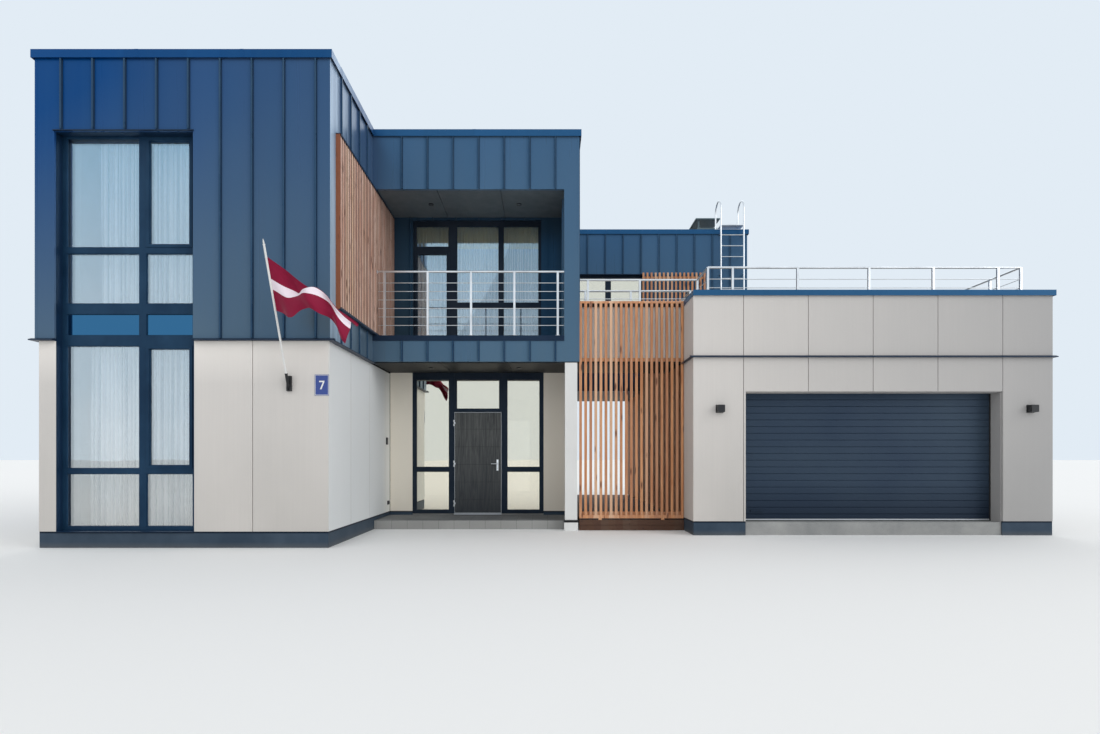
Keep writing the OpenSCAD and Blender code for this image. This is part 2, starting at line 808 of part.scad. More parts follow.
module drip_flashing()
    color("darkslategray") {
        on_face(face_front)
            difference() {
                strip([-drip_out, front_block_w + drip_out], drip_profile(metal_t));
                cut_openings([tall_window]);
            }
        on_face(face_left)
            strip([metal_t, house_d - metal_t], drip_profile(metal_t));
        on_face(face_recess)
            strip([metal_t, portal_setback], drip_profile(metal_t));
        on_face(face_rear)
            strip([0, face_rear[3] + drip_out], drip_profile(metal_t));
        on_face(face_garage)
            strip([-drip_out, garage_w + drip_out], drip_profile(panel_t));
        on_face(face_garage_left)
            strip([screen_side_u, face_garage_left[3] - panel_t], drip_profile(panel_t));
        on_face(face_garage_right)
            strip([panel_t, face_garage_right[3] - panel_t], drip_profile(panel_t));
        on_face(face_garage_rear)
            strip([-drip_out, garage_w], drip_profile(panel_t));
        on_face(face_portal)
            balcony_edge();
        on_face(face_recess)
            block([timber_start - timber_cap_over, face_recess[3]],
                [-timber_t - timber_cap_over, 0],
                [timber_top_z, timber_top_z + timber_cap_t]);
        on_face(face_front) head_flashings([tall_window]);
        on_face(face_left) head_flashings(left_openings);
        on_face(face_upper) head_flashings([upper_opening]);
        on_face(face_rear) head_flashings(rear_openings);
        on_face(face_upper_rear) head_flashings(upper_rear_openings);
    }

// A coping over a parapet of some depth: a cap that falls inwards, with an apron on
// the outside and a shorter one on the inside. Where two copings meet, one cap runs
// past the corner, and each apron ends at the next one.
coping_fall = 12;
apron_t = 6;
inner_over = 12;
function coping_edge(depth) = depth + inner_over;
function apron_line(depth) = coping_edge(depth) - apron_t;
module coping(depth, top, apron, cap, outer, inner, over = coping_over) {
    edge = coping_edge(depth);
    strip(cap, [
        [-over, top], [-over, top - coping_cap],
        [edge, top - coping_cap], [edge, top - coping_fall]
    ]);
    block(outer, [-over, -over + apron_t], [top - apron, top - coping_cap]);
    block(inner, [edge - apron_t, edge], [top - apron / 2, top - coping_cap]);
}
module house_coping(cap, outer, inner)
    coping(full_t, parapet_z, coping_h, cap, outer, inner);
module garage_coping(cap, outer, inner, over = coping_over)
    coping(parapet_inner, garage_parapet_z, garage_coping_h, cap, outer, inner, over);
// The garage's coping barely oversails its side by the passage.
passage_over = 8;
module copings()
    color("royalblue") {
        over = coping_over;
        edge = coping_edge(full_t);
        line = apron_line(full_t);
        beside = over - apron_t;
        on_face(face_front)
            house_coping([-over, front_block_w + over], [-over, front_block_w + over],
                [line, front_block_w - line]);
        on_face(face_left)
            house_coping([edge, house_d - edge], [-over, house_d + over],
                [edge, house_d - edge]);
        on_face(face_recess)
            house_coping([edge, portal_setback - over], [-over, portal_setback - over],
                [edge, portal_setback + edge]);
        on_face(face_portal)
            house_coping([-edge, middle_block_w + over],
                [beside, middle_block_w + over], [-line, middle_block_w - line]);
        on_face(face_passage) {
            run = y_upper - y_portal;
            house_coping([edge, run - over], [-over, run - over], [edge, run + edge]);
        }
        on_face(face_upper)
            house_coping([-edge, upper_block_w + over],
                [beside, upper_block_w + over], [-line, upper_block_w - line]);
        on_face(face_upper_side)
            house_coping([edge, upper_block_d - edge], [-over, upper_block_d + over],
                [edge, upper_block_d - edge]);
        on_face(face_upper_rear) {
            run = x_upper - x_left;
            house_coping([-over, run + over], [-over, run + over], [line, run - line]);
        }
        garage_edge = coping_edge(parapet_inner);
        garage_line = apron_line(parapet_inner);
        on_face(face_garage)
            garage_coping([-passage_over, garage_w + over],
                [-passage_over, garage_w + over],
                [garage_line, garage_w - garage_line]);
        on_face(face_garage_left) {
            run = face_garage_left[3];
            garage_coping([bridge_front_u, run - garage_edge],
                [screen_side_u, run + over], [bridge_front_u, run - garage_edge],
                passage_over);
        }
        on_face(face_garage_right) {
            run = face_garage_right[3];
            garage_coping([garage_edge, run - garage_edge], [-over, run + over],
                [garage_edge, run - garage_edge]);
        }
        on_face(face_garage_rear) {
            run = x_right - x_upper;
            garage_coping([-over, run], [-over, run], [garage_line, run]);
        }
    }

// A sheet-metal lining round an opening, from the facade's face to the window
// frame, with a sill that falls outwards past the face
sill_fall = 8;
module reveal_lining(o, face, back) {
    difference() {
        block([o[0], o[1]], [face, back], [o[2], o[3]]);
        block([o[0] + lining_t, o[1] - lining_t], [face - 1, back + 1],
            [o[2] + lining_t, o[3] - lining_t]);
    }
    strip([o[0], o[1]], [
        [face, o[2]], [face, o[2] + lining_t],
        [face - sill_out, o[2] + lining_t - sill_fall],
        [face - sill_out, o[2] - sill_fall]
    ]);
}
module reveal_linings()
    color("steelblue") {
        on_face(face_front) reveal_lining(tall_window, panel_recess, reveal);
        on_face(face_upper) reveal_lining(upper_opening, 0, upper_reveal);
        on_face(face_left)
            for (o = left_openings)
                reveal_lining(o, o[3] > metal_z ? 0 : panel_recess, reveal);
        on_face(face_rear)
            for (o = rear_openings)
                reveal_lining(o, o[3] > metal_z ? 0 : panel_recess, reveal);
        on_face(face_upper_rear)
            for (o = upper_rear_openings) reveal_lining(o, 0, reveal);
    }

// Upright boards side by side with grooves between them, seen in plan.
groove_w = 14;
groove_depth = 22;
module grooved_boards(span, thickness, pitch, z) {
    count = floor((span[1] - span[0]) / pitch);
    width = (span[1] - span[0]) / count;
    grooves = [for (i = [1 : count - 1]) span[0] + i * width];
    outline = concat(
        [[span[1], 0], [span[0], 0], [span[0], -thickness]],
        [for (u = grooves) each [
            [u - groove_w / 2, -thickness],
            [u - groove_w / 2, -thickness + groove_depth],
            [u + groove_w / 2, -thickness + groove_depth],
            [u + groove_w / 2, -thickness]
        ]],
        [[span[1], -thickness]]
    );
    translate([0, 0, z[0]]) linear_extrude(z[1] - z[0]) polygon(outline);
}

foot_gap = 12;
module side_timber()
    color("peru") on_face(face_recess)
        grooved_boards([timber_start, face_recess[3]], timber_t, slat_pitch,
            [upper_floor_z + foot_gap, timber_top_z]);

// Slats with rails behind them, from the rails' back at the given depth.
module slatted_panel(span, depth, z, rails, pitch) {
    count = floor((span[1] - span[0] - slat_w) / pitch);
    step = (span[1] - span[0] - slat_w) / count;
    for (i = [0 : count])
        block([span[0] + i * step, span[0] + i * step + slat_w],
            [depth - batten_t - slat_t, depth - batten_t], z);
    for (h = rails)
        block(span, [depth - batten_t, depth], [h - batten_h / 2, h + batten_h / 2]);
}

// The passage screen stands between a bottom rail on two blocks and a cap board.
screen_top_z = garage_parapet_z - 5;
screen_bottom_z = floor_z + 30;
screen_cap_t = 40;
screen_foot = 60;
screen_clear = 10;
module slat_screen()
    color("peru") on_face(face_portal)
        translate([middle_block_w, 0, 0]) {
            back = bridge_y[0] - y_portal;
            span = [0, passage_w - screen_clear];
            depth = [back - batten_t - slat_t, back];
            slats_z = [screen_bottom_z + batten_h, screen_top_z - screen_cap_t];
            slatted_panel(span, back, slats_z,
                [slats_z[0] + batten_h / 2, ceiling_z + batten_h,
                    slats_z[1] - batten_h / 2], slat_pitch);
            block(span, depth, [screen_bottom_z, slats_z[0]]);
            block(span, depth, [slats_z[1], screen_top_z]);
            for (x = [span[1] / 5, span[1] * 4 / 5])
                block([x - screen_foot / 2, x + screen_foot / 2], depth,
                    [floor_z, screen_bottom_z]);
        }

// The boards on the garage's side wall reach the terrace where the passage is open
// to the sky, and stop under the upper block and under the bridge.
slats_from_front = 900;
boards_gap = 10;
module passage_slats()
    color("sienna") on_face(face_garage_left) {
        low = [floor_z + foot_gap, ceiling_z - boards_gap];
        open_span = [upper_block_d, y_rear - bridge_y[1] - boards_gap];
        grooved_boards([panel_t, open_span[0]], slat_t, slat_pitch, low);
        grooved_boards(open_span, slat_t, slat_pitch,
            [low[0], upper_floor_z - boards_gap]);
        grooved_boards([open_span[1], face_garage_left[3] - slats_from_front], slat_t,
            slat_pitch, low);
    }

slats_bottom = 20;
slats_rail = 130;
terrace_slat_pitch = slat_pitch + 10;
module terrace_slats()
    color("peru") on_face(face_upper)
        slatted_panel(slats_x, 0, [upper_floor_z + slats_bottom, slats_top_z],
            [upper_floor_z + slats_rail, (upper_floor_z + slats_top_z) / 2,
                slats_top_z - slats_rail], terrace_slat_pitch);

// Three soffit boards side by side over a span, with open joints between them
soffit_boards = 3;
module soffit_row(span, depth, z) {
    step = (span[1] - span[0]) / soffit_boards;
    for (i = [0 : soffit_boards - 1])
        block([span[0] + i * step + (i > 0 ? panel_joint / 2 : 0),
            span[0] + (i + 1) * step - (i < soffit_boards - 1 ? panel_joint / 2 : 0)],
            depth, z);
}
module soffits()
    color("dimgray") {
        on_face(face_portal) {
            soffit_row([0, middle_block_w - metal_t],
                [metal_t, recess_d + entrance_reveal], [ceiling_z, slab_z]);
            soffit_row([0, middle_block_w - cheek_w], [metal_t, recess_d + metal_t],
                [upper_ceiling_z, roof_slab_z]);
        }
        block([x_passage, x_garage], [y_upper + metal_t, y_rear - metal_t],
            [ceiling_z, slab_z]);
        block([x_passage - metal_t + plinth_gap, x_garage], bridge_y,
            [ceiling_z, slab_z]);
    }

// The light post under the balcony's corner, on its concrete base
post_section = 232;
post_inset = 39;
post_setback = 12;
base_over = 14;
post_base_z = floor_z;
module corner_post()
    color("whitesmoke") on_face(face_portal) {
        x = middle_block_w - post_inset - post_section;
        y = post_setback;
        block([x, x + post_section], [y, y + post_section], [post_base_z, ceiling_z]);
        block([x - base_over, x + post_section + base_over],
            [y - base_over, porch_front - y_portal - plinth_gap], [0, post_base_z]);
    }

// A window frame that fills an opening but for its panes
module frame(opening, depth, panes)
    difference() {
        block([opening[0], opening[1]], [depth, depth + frame_d],
            [opening[2], opening[3]]);
        cut_openings(panes);
    }

// A raised sash frame around a pane
sash_w = 46;
sash_out = 12;
module sash(pane, depth)
    difference() {
        block([pane[0] - sash_w, pane[1] + sash_w], [depth - sash_out, depth],
            [pane[2] - sash_w, pane[3] + sash_w]);
        cut_openings([pane]);
    }

module glass_panes(panes, depth)
    for (p = panes)
        block([p[0], p[1]], [depth + (frame_d - glass_t) / 2,
            depth + (frame_d + glass_t) / 2], [p[2], p[3]]);

// Every pane is [left, right, bottom, top] in its facade's frame.
tall_left = tall_window[0] + frame_w;
tall_right = tall_window[1] - 1.5 * frame_w;
tall_mullion = [tall_window[0] + tall_w * 0.563, tall_window[0] + tall_w * 0.615];
// The rows of panes, from the floor up: the bottom lights, the ground floor's tall
// lights, the panel in front of the floor slab, and the upper floor's two rows
low_transom_z = 1128;
slab_pane_z = [slab_z + 60, upper_floor_z - 90];
upper_transom_z = 4523;
wide_rail = 2 * rail_w;
thin_frame = 24;
tall_rows = [
    [tall_window[2] + frame_w, low_transom_z],
    [low_transom_z + rail_w, slab_pane_z[0] - wide_rail],
    slab_pane_z,
    [slab_pane_z[1] + wide_rail, upper_transom_z],
    [upper_transom_z + 1.2 * rail_w, window_head_z - thin_frame]
];
tall_sash_panes = [for (r = [tall_rows[1], tall_rows[4]])
    [tall_mullion[1] + sash_w, tall_right - sash_w, r[0] + sash_w, r[1] - sash_w]];
tall_panes = concat(
    [for (r = tall_rows) [tall_left, tall_mullion[0], r[0], r[1]]],
    [for (i = [0, 2, 3]) [tall_mullion[1], tall_right, tall_rows[i][0],
        tall_rows[i][1]]],
    tall_sash_panes
);
module front_window()
    color("darkslategray") on_face(face_front) {
        frame(tall_window, reveal, tall_panes);
        for (p = tall_sash_panes) sash(p, reveal);
    }

// The balcony window: a glazed door with a light over it, and two fixed lights in
// two rows. The columns are parts of the window's width.
balcony_reveal = metal_t;
balcony_sill = 90;
balcony_door_z = 5686;
balcony_transom_z = [4550, 4660];
balcony_top_z = balcony_head_z - 100;
balcony_columns = [for (part = [[0.338, 0.668], [0.703, 0.981]])
    [balcony_x + part[0] * balcony_w, balcony_x + part[1] * balcony_w]];
balcony_door_pane = [balcony_x + 74, balcony_x + 707,
    upper_floor_z + balcony_sill, balcony_door_z];
balcony_panes = concat(
    [
        balcony_door_pane,
        [balcony_x + 50, balcony_x + 744, balcony_door_z + wide_rail, balcony_top_z]
    ],
    [for (c = balcony_columns)
        [c[0], c[1], upper_floor_z + balcony_sill, balcony_transom_z[0]]],
    [for (c = balcony_columns) [c[0], c[1], balcony_transom_z[1], balcony_top_z]]
);
module balcony_window()
    color("darkslategray") on_face(face_porch) {
        frame(balcony_opening, balcony_reveal, balcony_panes);
        sash(balcony_door_pane, balcony_reveal);
    }

// The entrance unit: a sidelight on each side, and a fanlight over the door
entrance_reveal = 40;
door_left = entrance_x + door_x;
door_right = door_left + door_w;
door_bottom = floor_z + 8;
door_top = door_bottom + door_h;
unit_joint = 2;
low_glass_z = [floor_z + 69, 1085];
high_glass_z = [1174, 3030];
sidelight_w = 694;
sidelight_edge = 80;
entrance_right = entrance_x + entrance_w;
left_light = entrance_x + sidelight_edge;
right_light = entrance_right - sidelight_edge;
left_panes = [for (z = [low_glass_z, high_glass_z])
    [left_light, left_light + sidelight_w, z[0], z[1]]];
right_panes = [for (z = [low_glass_z, high_glass_z])
    [right_light - sidelight_w, right_light, z[0], z[1]]];
fanlight_edge = 41;
fanlight_rail = 70;
fanlight = [door_left + fanlight_edge, door_right - fanlight_edge,
    door_top + fanlight_rail, high_glass_z[1]];
threshold_t = floor_z - porch_z;
module entrance_frame()
    color("darkslategray") on_face(face_porch) {
        frame([entrance_x, door_left - door_gap, floor_z, slab_z],
            entrance_reveal, left_panes);
        frame([door_right + door_gap, entrance_right, floor_z, slab_z],
            entrance_reveal, right_panes);
        frame([door_left - door_gap + unit_joint, door_right + door_gap - unit_joint,
            door_top + door_gap, slab_z], entrance_reveal, [fanlight]);
        block([door_left, door_right], [plinth_gap, metal_t],
            [porch_z, porch_z + threshold_t]);
    }

upper_reveal = 100;
upper_panes = [for (part = [[0.022, 0.472], [0.546, 0.968]])
    [upper_x + part[0] * upper_w, upper_x + part[1] * upper_w,
        upper_floor_z + frame_w, upper_opening[3] - frame_w]];
module upper_window()
    color("darkslategray") on_face(face_upper)
        frame(upper_opening, upper_reveal, upper_panes);

// The plain windows of the left and rear sides, in equal lights
function lights(o, count) = [for (i = [0 : count - 1])
    let (step = (o[1] - o[0] - frame_w) / count)
    [o[0] + frame_w + i * step, o[0] + (i + 1) * step,
        o[2] + frame_w, o[3] - frame_w]];
function light_count(o) = o[1] - o[0] > 2 * plain_window_w ? 3 : 2;
module plain_frames(openings)
    for (o = openings) frame(o, reveal, lights(o, light_count(o)));
module plain_glass(openings)
    for (o = openings) glass_panes(lights(o, light_count(o)), reveal);
module plain_windows()
    color("darkslategray") {
        on_face(face_left) plain_frames(left_openings);
        on_face(face_rear) plain_frames(rear_openings);
        on_face(face_upper_rear) plain_frames(upper_rear_openings);
    }

module window_glass()
    color("lightblue", 0.4) {
        on_face(face_front) glass_panes(tall_panes, reveal);
        on_face(face_porch) {
            glass_panes(balcony_panes, balcony_reveal);
            glass_panes(concat(left_panes, right_panes, [fanlight]),
                entrance_reveal);
        }
        on_face(face_upper) glass_panes(upper_panes, upper_reveal);
        on_face(face_left) plain_glass(left_openings);
        on_face(face_rear) plain_glass(rear_openings);
        on_face(face_upper_rear) plain_glass(upper_rear_openings);
    }

// The door leaf, with shallow grooves across its outer face
leaf_groove_pitch = 373;
leaf_groove_first = 276;
leaf_groove = [8, 4];
leaf_top_margin = 100;
module door_leaf()
    color("dimgray") on_face(face_porch)
        difference() {
            block([door_left, door_right], [entrance_reveal, entrance_reveal + door_t],
                [door_bottom, door_top]);
            for (z = [leaf_groove_first : leaf_groove_pitch : door_h - leaf_top_margin])
                block([door_left - 1, door_right + 1],
                    [entrance_reveal - 1, entrance_reveal + leaf_groove[1]],
                    [door_bottom + z, door_bottom + z + leaf_groove[0]]);
        }

// Each hinge has two knuckles and a pin on the frame, and one knuckle between
// them on the leaf. The pin's axis stands in front of the leaf's left edge.
hinge_heights = [410, 1250, 2110];
knuckle_r = 11;
pin_r = 6;
pin_play = 0.3;
knuckle_h = 42;
knuckle_gap = 1;
hinge_out = 13;
strap_t = 6;
strap_w = 20;
hinge_x = door_left - door_gap / 2;
hinge_y = entrance_reveal - hinge_out;
module knuckle(z, r)
    translate([hinge_x, hinge_y, z]) cylinder(h = knuckle_h, r = r);
module door_hinges()
    color("silver") on_face(face_porch)
        for (mid = hinge_heights) {
            low = mid - 1.5 * knuckle_h - knuckle_gap;
            high = mid + knuckle_h / 2 + knuckle_gap;
            for (z = [low, high]) {
                knuckle(z, knuckle_r);
                block([hinge_x - strap_w, hinge_x],
                    [entrance_reveal - strap_t, entrance_reveal],
                    [z, z + knuckle_h]);
            }
            translate([hinge_x, hinge_y, low])
                cylinder(h = high + knuckle_h - low, r = pin_r);
        }
module leaf_hinges()
    color("silver") on_face(face_porch)
        for (mid = hinge_heights) {
            z = mid - knuckle_h / 2;
            difference() {
                union() {
                    knuckle(z, knuckle_r);
                    block([hinge_x, door_left + strap_w],
                        [entrance_reveal - strap_t, entrance_reveal],
                        [z, z + knuckle_h]);
                }
                translate([hinge_x, hinge_y, z - 1])
                    cylinder(h = knuckle_h + 2, r = pin_r + pin_play);
            }
        }

// The handle: a plate with a lever on each face of the leaf
handle_inset = 82;
handle_x = door_right - handle_inset;
plate_w = 40;
plate_below = 142;
plate_above = 90;
plate_t = 8;
lever_d = 20;
lever_l = 130;
lever_out = 58;
module handle_side(face_y, out) {
    far = face_y + out * plate_t;
    block([handle_x - plate_w / 2, handle_x + plate_w / 2],
        [min(face_y, far), max(face_y, far)],
        [handle_z - plate_below, handle_z + plate_above]);
    translate([handle_x, face_y, handle_z]) rotate([-out * 90, 0, 0])
        cylinder(h = lever_out, d = lever_d);
    translate([handle_x, face_y + out * lever_out, handle_z]) {
        rotate([0, -90, 0]) cylinder(h = lever_l, d = lever_d);
        sphere(d = lever_d);
    }
}
module door_handle()
    color("silver") on_face(face_porch) {
        handle_side(entrance_reveal, -1);
        handle_side(entrance_reveal + door_t, 1);
    }

// The sectional garage door: a sheet with grooves across it, and its handle
garage_door_t = 40;
rib_groove = [16, 7];
module garage_door()
    color("slategray") on_face(face_garage) {
        height = garage_head_z - garage_floor_z;
        count = floor(height / rib_pitch);
        step = height / count;
        grooves = [for (i = [1 : count - 1]) garage_floor_z + i * step];
        outline = concat(
            [[garage_reveal + garage_door_t, garage_head_z],
                [garage_reveal + garage_door_t, garage_floor_z],
                [garage_reveal, garage_floor_z]],
            [for (z = grooves) each [
                [garage_reveal, z - rib_groove[0] / 2],
                [garage_reveal + rib_groove[1], z],
                [garage_reveal, z + rib_groove[0] / 2]
            ]],
            [[garage_reveal, garage_head_z]]
        );
        strip([garage_opening[0], garage_opening[1]], outline);
        translate([garage_opening[0] + garage_handle_x, garage_reveal,
            garage_floor_z + garage_handle_up]) garage_handle();
    }
// A grip bar on two feet
garage_handle_x = 294;
garage_handle_up = 185;
grip_l = 230;
grip_h = 28;
grip_out = [-26, -12];
grip_foot = 24;
module garage_handle() {
    block([-grip_l / 2, grip_l / 2], grip_out, [-grip_h / 2, grip_h / 2]);
    for (x = [-grip_l / 2 + grip_foot, grip_l / 2 - grip_foot])
        block([x - grip_foot / 2, x + grip_foot / 2], [grip_out[1] - 1, 0],
            [-grip_foot / 2, grip_foot / 2]);
}

// A railing along X: posts at the given places, a top rail and thin bars.
rail_inset = 60;
first_bar = 201;
module railing(span, posts) {
    for (x = posts)
        block([x - post_w / 2, x + post_w / 2], [-post_w / 2, post_w / 2],
            [upper_floor_z, rail_z - top_rail_d / 2]);
    translate([span[0], 0, rail_z - top_rail_d / 2]) rotate([0, 90, 0])
        cylinder(h = span[1] - span[0], d = top_rail_d);
    for (i = [0 : bar_count - 1])
        translate([span[0], 0, upper_floor_z + first_bar + i * bar_pitch])
            rotate([0, 90, 0]) cylinder(h = span[1] - span[0], d = bar_d);
}

// The balcony's railing starts at a round bracket on the timber, and its posts
// are spaced evenly between the first and the last.
rail_clear = 1;
bracket_l = 30;
bracket_d = 66;
bracket_t = 8;
stub_d = 20;
balcony_rail = [timber_t + bracket_l, middle_block_w - cheek_w - rail_clear];
balcony_posts = 5;
post_from_timber = 141;
post_from_cheek = 120;
module balcony_railing()
    color("silver") on_face(face_portal) translate([0, rail_inset, 0]) {
        first = timber_t + post_from_timber;
        step = (balcony_rail[1] - post_from_cheek - first) / (balcony_posts - 1);
        railing(balcony_rail, [for (i = [0 : balcony_posts - 1]) first + i * step]);
        translate([timber_t, 0, rail_z - top_rail_d / 2]) rotate([0, 90, 0]) {
            cylinder(h = bracket_t, d = bracket_d);
            cylinder(h = bracket_l + 1, d = stub_d);
        }
    }

// The railings around the terrace and the bridge. Each straight run stops
// short of the post at the end of the run that it meets.
rail_y = y_garage + 540;
rail_left = x_garage + 391;
rail_right = x_right - 167;
bridge_rail_y = bridge_y[0] + 540;
bridge_back_y = bridge_y[1] - rail_inset;
back_rail_x = x_garage + 440;
rail_run = rail_right - rail_left;
front_posts = [for (part = [0, 0.079, 0.287, 0.515, 0.72, 0.927, 1]) part * rail_run];
rail_gap = 0.5;
rail_end = max(post_w, top_rail_d) / 2 + rail_gap;
side_bay = 900;
module side_run(x, from, to) {
    bays = ceil((to - from) / side_bay);
    translate([x, from, 0]) rotate([0, 0, 90])
        railing([rail_end, to - from - rail_end],
            [for (i = [1 : bays - 1]) i * (to - from) / bays]);
}
rear_rail_inset = 240;
module terrace_railing()
    color("silver") {
        translate([rail_left, rail_y, 0]) railing([0, rail_run], front_posts);
        rear_rail_y = y_rear - rear_rail_inset;
        rear_run = rail_right - x_upper;
        side_run(rail_right, rail_y, rear_rail_y);
        translate([x_upper, rear_rail_y, 0])
            railing([rail_clear, rear_run],
                [for (part = [0.035, 0.355, 0.68, 1]) part * rear_run]);
    }
// The posts of the bridge's railings, from the house's wall
bridge_post = 200;
bridge_front_post = 1230;
bridge_back_post = 1160;
module bridge_railing()
    color("silver") {
        start = x_passage + rail_clear;
        translate([rail_left, rail_y, 0]) rotate([0, 0, 90])
            railing([rail_end, bridge_rail_y - rail_y + post_w / 2],
                [bridge_rail_y - rail_y]);
        translate([start, bridge_rail_y, 0])
            railing([0, rail_left - start - rail_end], [bridge_post, bridge_front_post]);
        translate([start, bridge_back_y, 0])
            railing([0, back_rail_x - start],
                [bridge_post, bridge_back_post, back_rail_x - start]);
        side_run(back_rail_x, bridge_back_y,
            y_upper - batten_t - slat_t + rail_end - rail_gap);
    }

// The ladder to the roof. Its stiles rise past the coping, turn over in a half
// circle and come down on the coping's rear edge, with a tread over the coping.
stile_d = 42;
rung_d = 26;
ladder_out = 180;
ladder_from_end = 145;
ladder_x = upper_block_w - ladder_from_end - ladder_w;
hoop_depth = 550;
first_rung = 165;
clamp_w = 40;
clamp_t = 12;
clamp_heights = [upper_ceiling_z - 140, seam_top_z - 30];
tread_d = 300;
tread_t = 26;
tread_up = 60;
foot_gap_z = 0.3;
// Height of the coping's sloping top at a depth behind the face
function coping_top(depth) = parapet_z
    - coping_fall * (depth + coping_over) / (coping_edge(full_t) + coping_over);
module stile() {
    r = hoop_depth / 2;
    straight_top = hoop_z - r - stile_d / 2;
    foot_z = coping_top(hoop_depth - ladder_out - stile_d / 2) + foot_gap_z;
    translate([0, 0, upper_floor_z])
        cylinder(h = straight_top - upper_floor_z, d = stile_d);
    translate([0, r, straight_top]) rotate([90, 0, 90])
        rotate_extrude(angle = 180) translate([r, 0]) circle(d = stile_d);
    translate([0, hoop_depth, foot_z])
        cylinder(h = straight_top - foot_z, d = stile_d);
}
module roof_ladder()
    color("silver") on_face(face_upper)
        translate([ladder_x, -ladder_out, 0]) {
            for (x = [0, ladder_w]) translate([x, 0, 0]) stile();
            for (z = [upper_floor_z + first_rung : rung_pitch : parapet_z])
                translate([0, 0, z]) rotate([0, 90, 0])
                    cylinder(h = ladder_w, d = rung_d);
            for (z = clamp_heights, x = [0, ladder_w])
                block([x - clamp_w / 2, x + clamp_w / 2], [0, ladder_out],
                    [z, z + clamp_t]);
            block([0, ladder_w], [0, tread_d],
                [parapet_z + tread_up, parapet_z + tread_up + tread_t]);
        }

// A chimney with a flat cap on four legs
chimney_w = 560;
chimney_d = 900;
cap_w = 680;
cap_t = 30;
chimney_h = 850;
cap_up = 1070;
chimney_top = roof_z + chimney_h;
cap_z = roof_z + cap_up;
cap_leg = 40;
leg_inset = 20;
chimney_from_end = 1245;
chimney_setback = 620;
module chimney()
    color("slategray")
    translate([x_upper - chimney_from_end, y_upper + chimney_setback, 0]) {
        side = (cap_w - chimney_w) / 2;
        first = side + leg_inset;
        last = side - leg_inset - cap_leg;
        block([side, side + chimney_w], [side, side + chimney_d],
            [roof_z, chimney_top]);
        block([0, cap_w], [0, chimney_d + 2 * side], [cap_z, cap_z + cap_t]);
        for (x = [first, last + chimney_w], y = [first, last + chimney_d])
            block([x, x + cap_leg], [y, y + cap_leg], [chimney_top, cap_z]);
    }

// Square lamps beside the garage door, and round lights in the soffits
lamp_size = 125;
lamp_z = 2240;
lamp_left = 465;
lamp_right = 397;
downlight_d = 90;
downlight_h = 12;
module lamps()
    color("black") {
        on_face(face_garage)
            for (x = [lamp_left, garage_w - lamp_right])
                block([x - lamp_size / 2, x + lamp_size / 2], [-lamp_size, 0],
                    [lamp_z - lamp_size / 2, lamp_z + lamp_size / 2]);
        on_face(face_portal)
            for (part = [0.25, 0.7], z = [ceiling_z, upper_ceiling_z])
                translate([part * middle_block_w, recess_d / 2, z - downlight_h])
                    cylinder(h = downlight_h, d = downlight_d);
    }

// The intercom and the socket on the recess's side wall, from the porch's corner
fitting_t = 24;
intercom = [285, 90, 1648, 145];
socket = [180, 80, 400, 80];
module wall_fittings()
    color("black") on_face(face_recess)
        for (f = [intercom, socket])
            block([face_recess[3] - f[0], face_recess[3] - f[0] + f[1]],
                [panel_recess - fitting_t, panel_recess], [f[2], f[2] + f[3]]);

plate_from_corner = 137;
sign_w = 216;
sign_t = 6;
sign_z = [2320, 2640];
module number_plate()
    color("royalblue") on_face(face_front) {
        mid = front_block_w - plate_from_corner;
        block([mid - sign_w / 2, mid + sign_w / 2], [panel_recess - sign_t, panel_recess],
            sign_z);
    }

// The flag pole leans out of a socket on the front wall, beside the number plate.
pole_from_corner = 625;
pole_foot = [front_block_w - pole_from_corner, -34, 2475];
socket_l = 200;
socket_wall = 6;
socket_play = 0.3;
socket_below = 20;
backplate_w = 70;
backplate_z = [pole_foot[2] - 90, pole_foot[2] + 140];
module on_pole()
    on_face(face_front) translate(pole_foot) rotate([pole_lean, 0, 0]) children();
module flag_bracket()
    color("black") {
        on_face(face_front)
            difference() {
                block([pole_foot[0] - backplate_w / 2, pole_foot[0] + backplate_w / 2],
                    [pole_foot[1] + socket_below, panel_recess], backplate_z);
                translate(pole_foot) rotate([pole_lean, 0, 0])
                    translate([0, 0, -socket_l])
                        cylinder(h = 3 * socket_l, d = pole_d);
            }
        on_pole()
            difference() {
                translate([0, 0, -socket_below])
                    cylinder(h = socket_l, d = pole_d + 2 * socket_wall);
                cylinder(h = socket_l, d = pole_d + 2 * socket_play);
            }
    }
module flag_pole()
    color("whitesmoke") on_pole() cylinder(h = pole_l, d = pole_d);

// The flag's plain solid, in the plane of the pole and the wall. Its corners are
// given as parts of its reach along the wall and of its drop below the hoist's top.
flag_t = 200;
flag_reach = 1190;
flag_drop = 1120;
flag_corners = [[0, 0], [0.44, 0.38], [1, 0.9], [0.67, 1], [0.28, 0.86], [0, flag_h / flag_drop]];
flag_clear = 0.3;
flag_from_tip = 30;
module flag()
    color("crimson") on_pole()
        translate([pole_d / 2 + flag_clear, flag_t / 2, pole_l - flag_from_tip])
            rotate([90, 0, 0]) linear_extrude(flag_t)
                polygon([for (c = flag_corners) [c[0] * flag_reach, -c[1] * flag_drop]]);

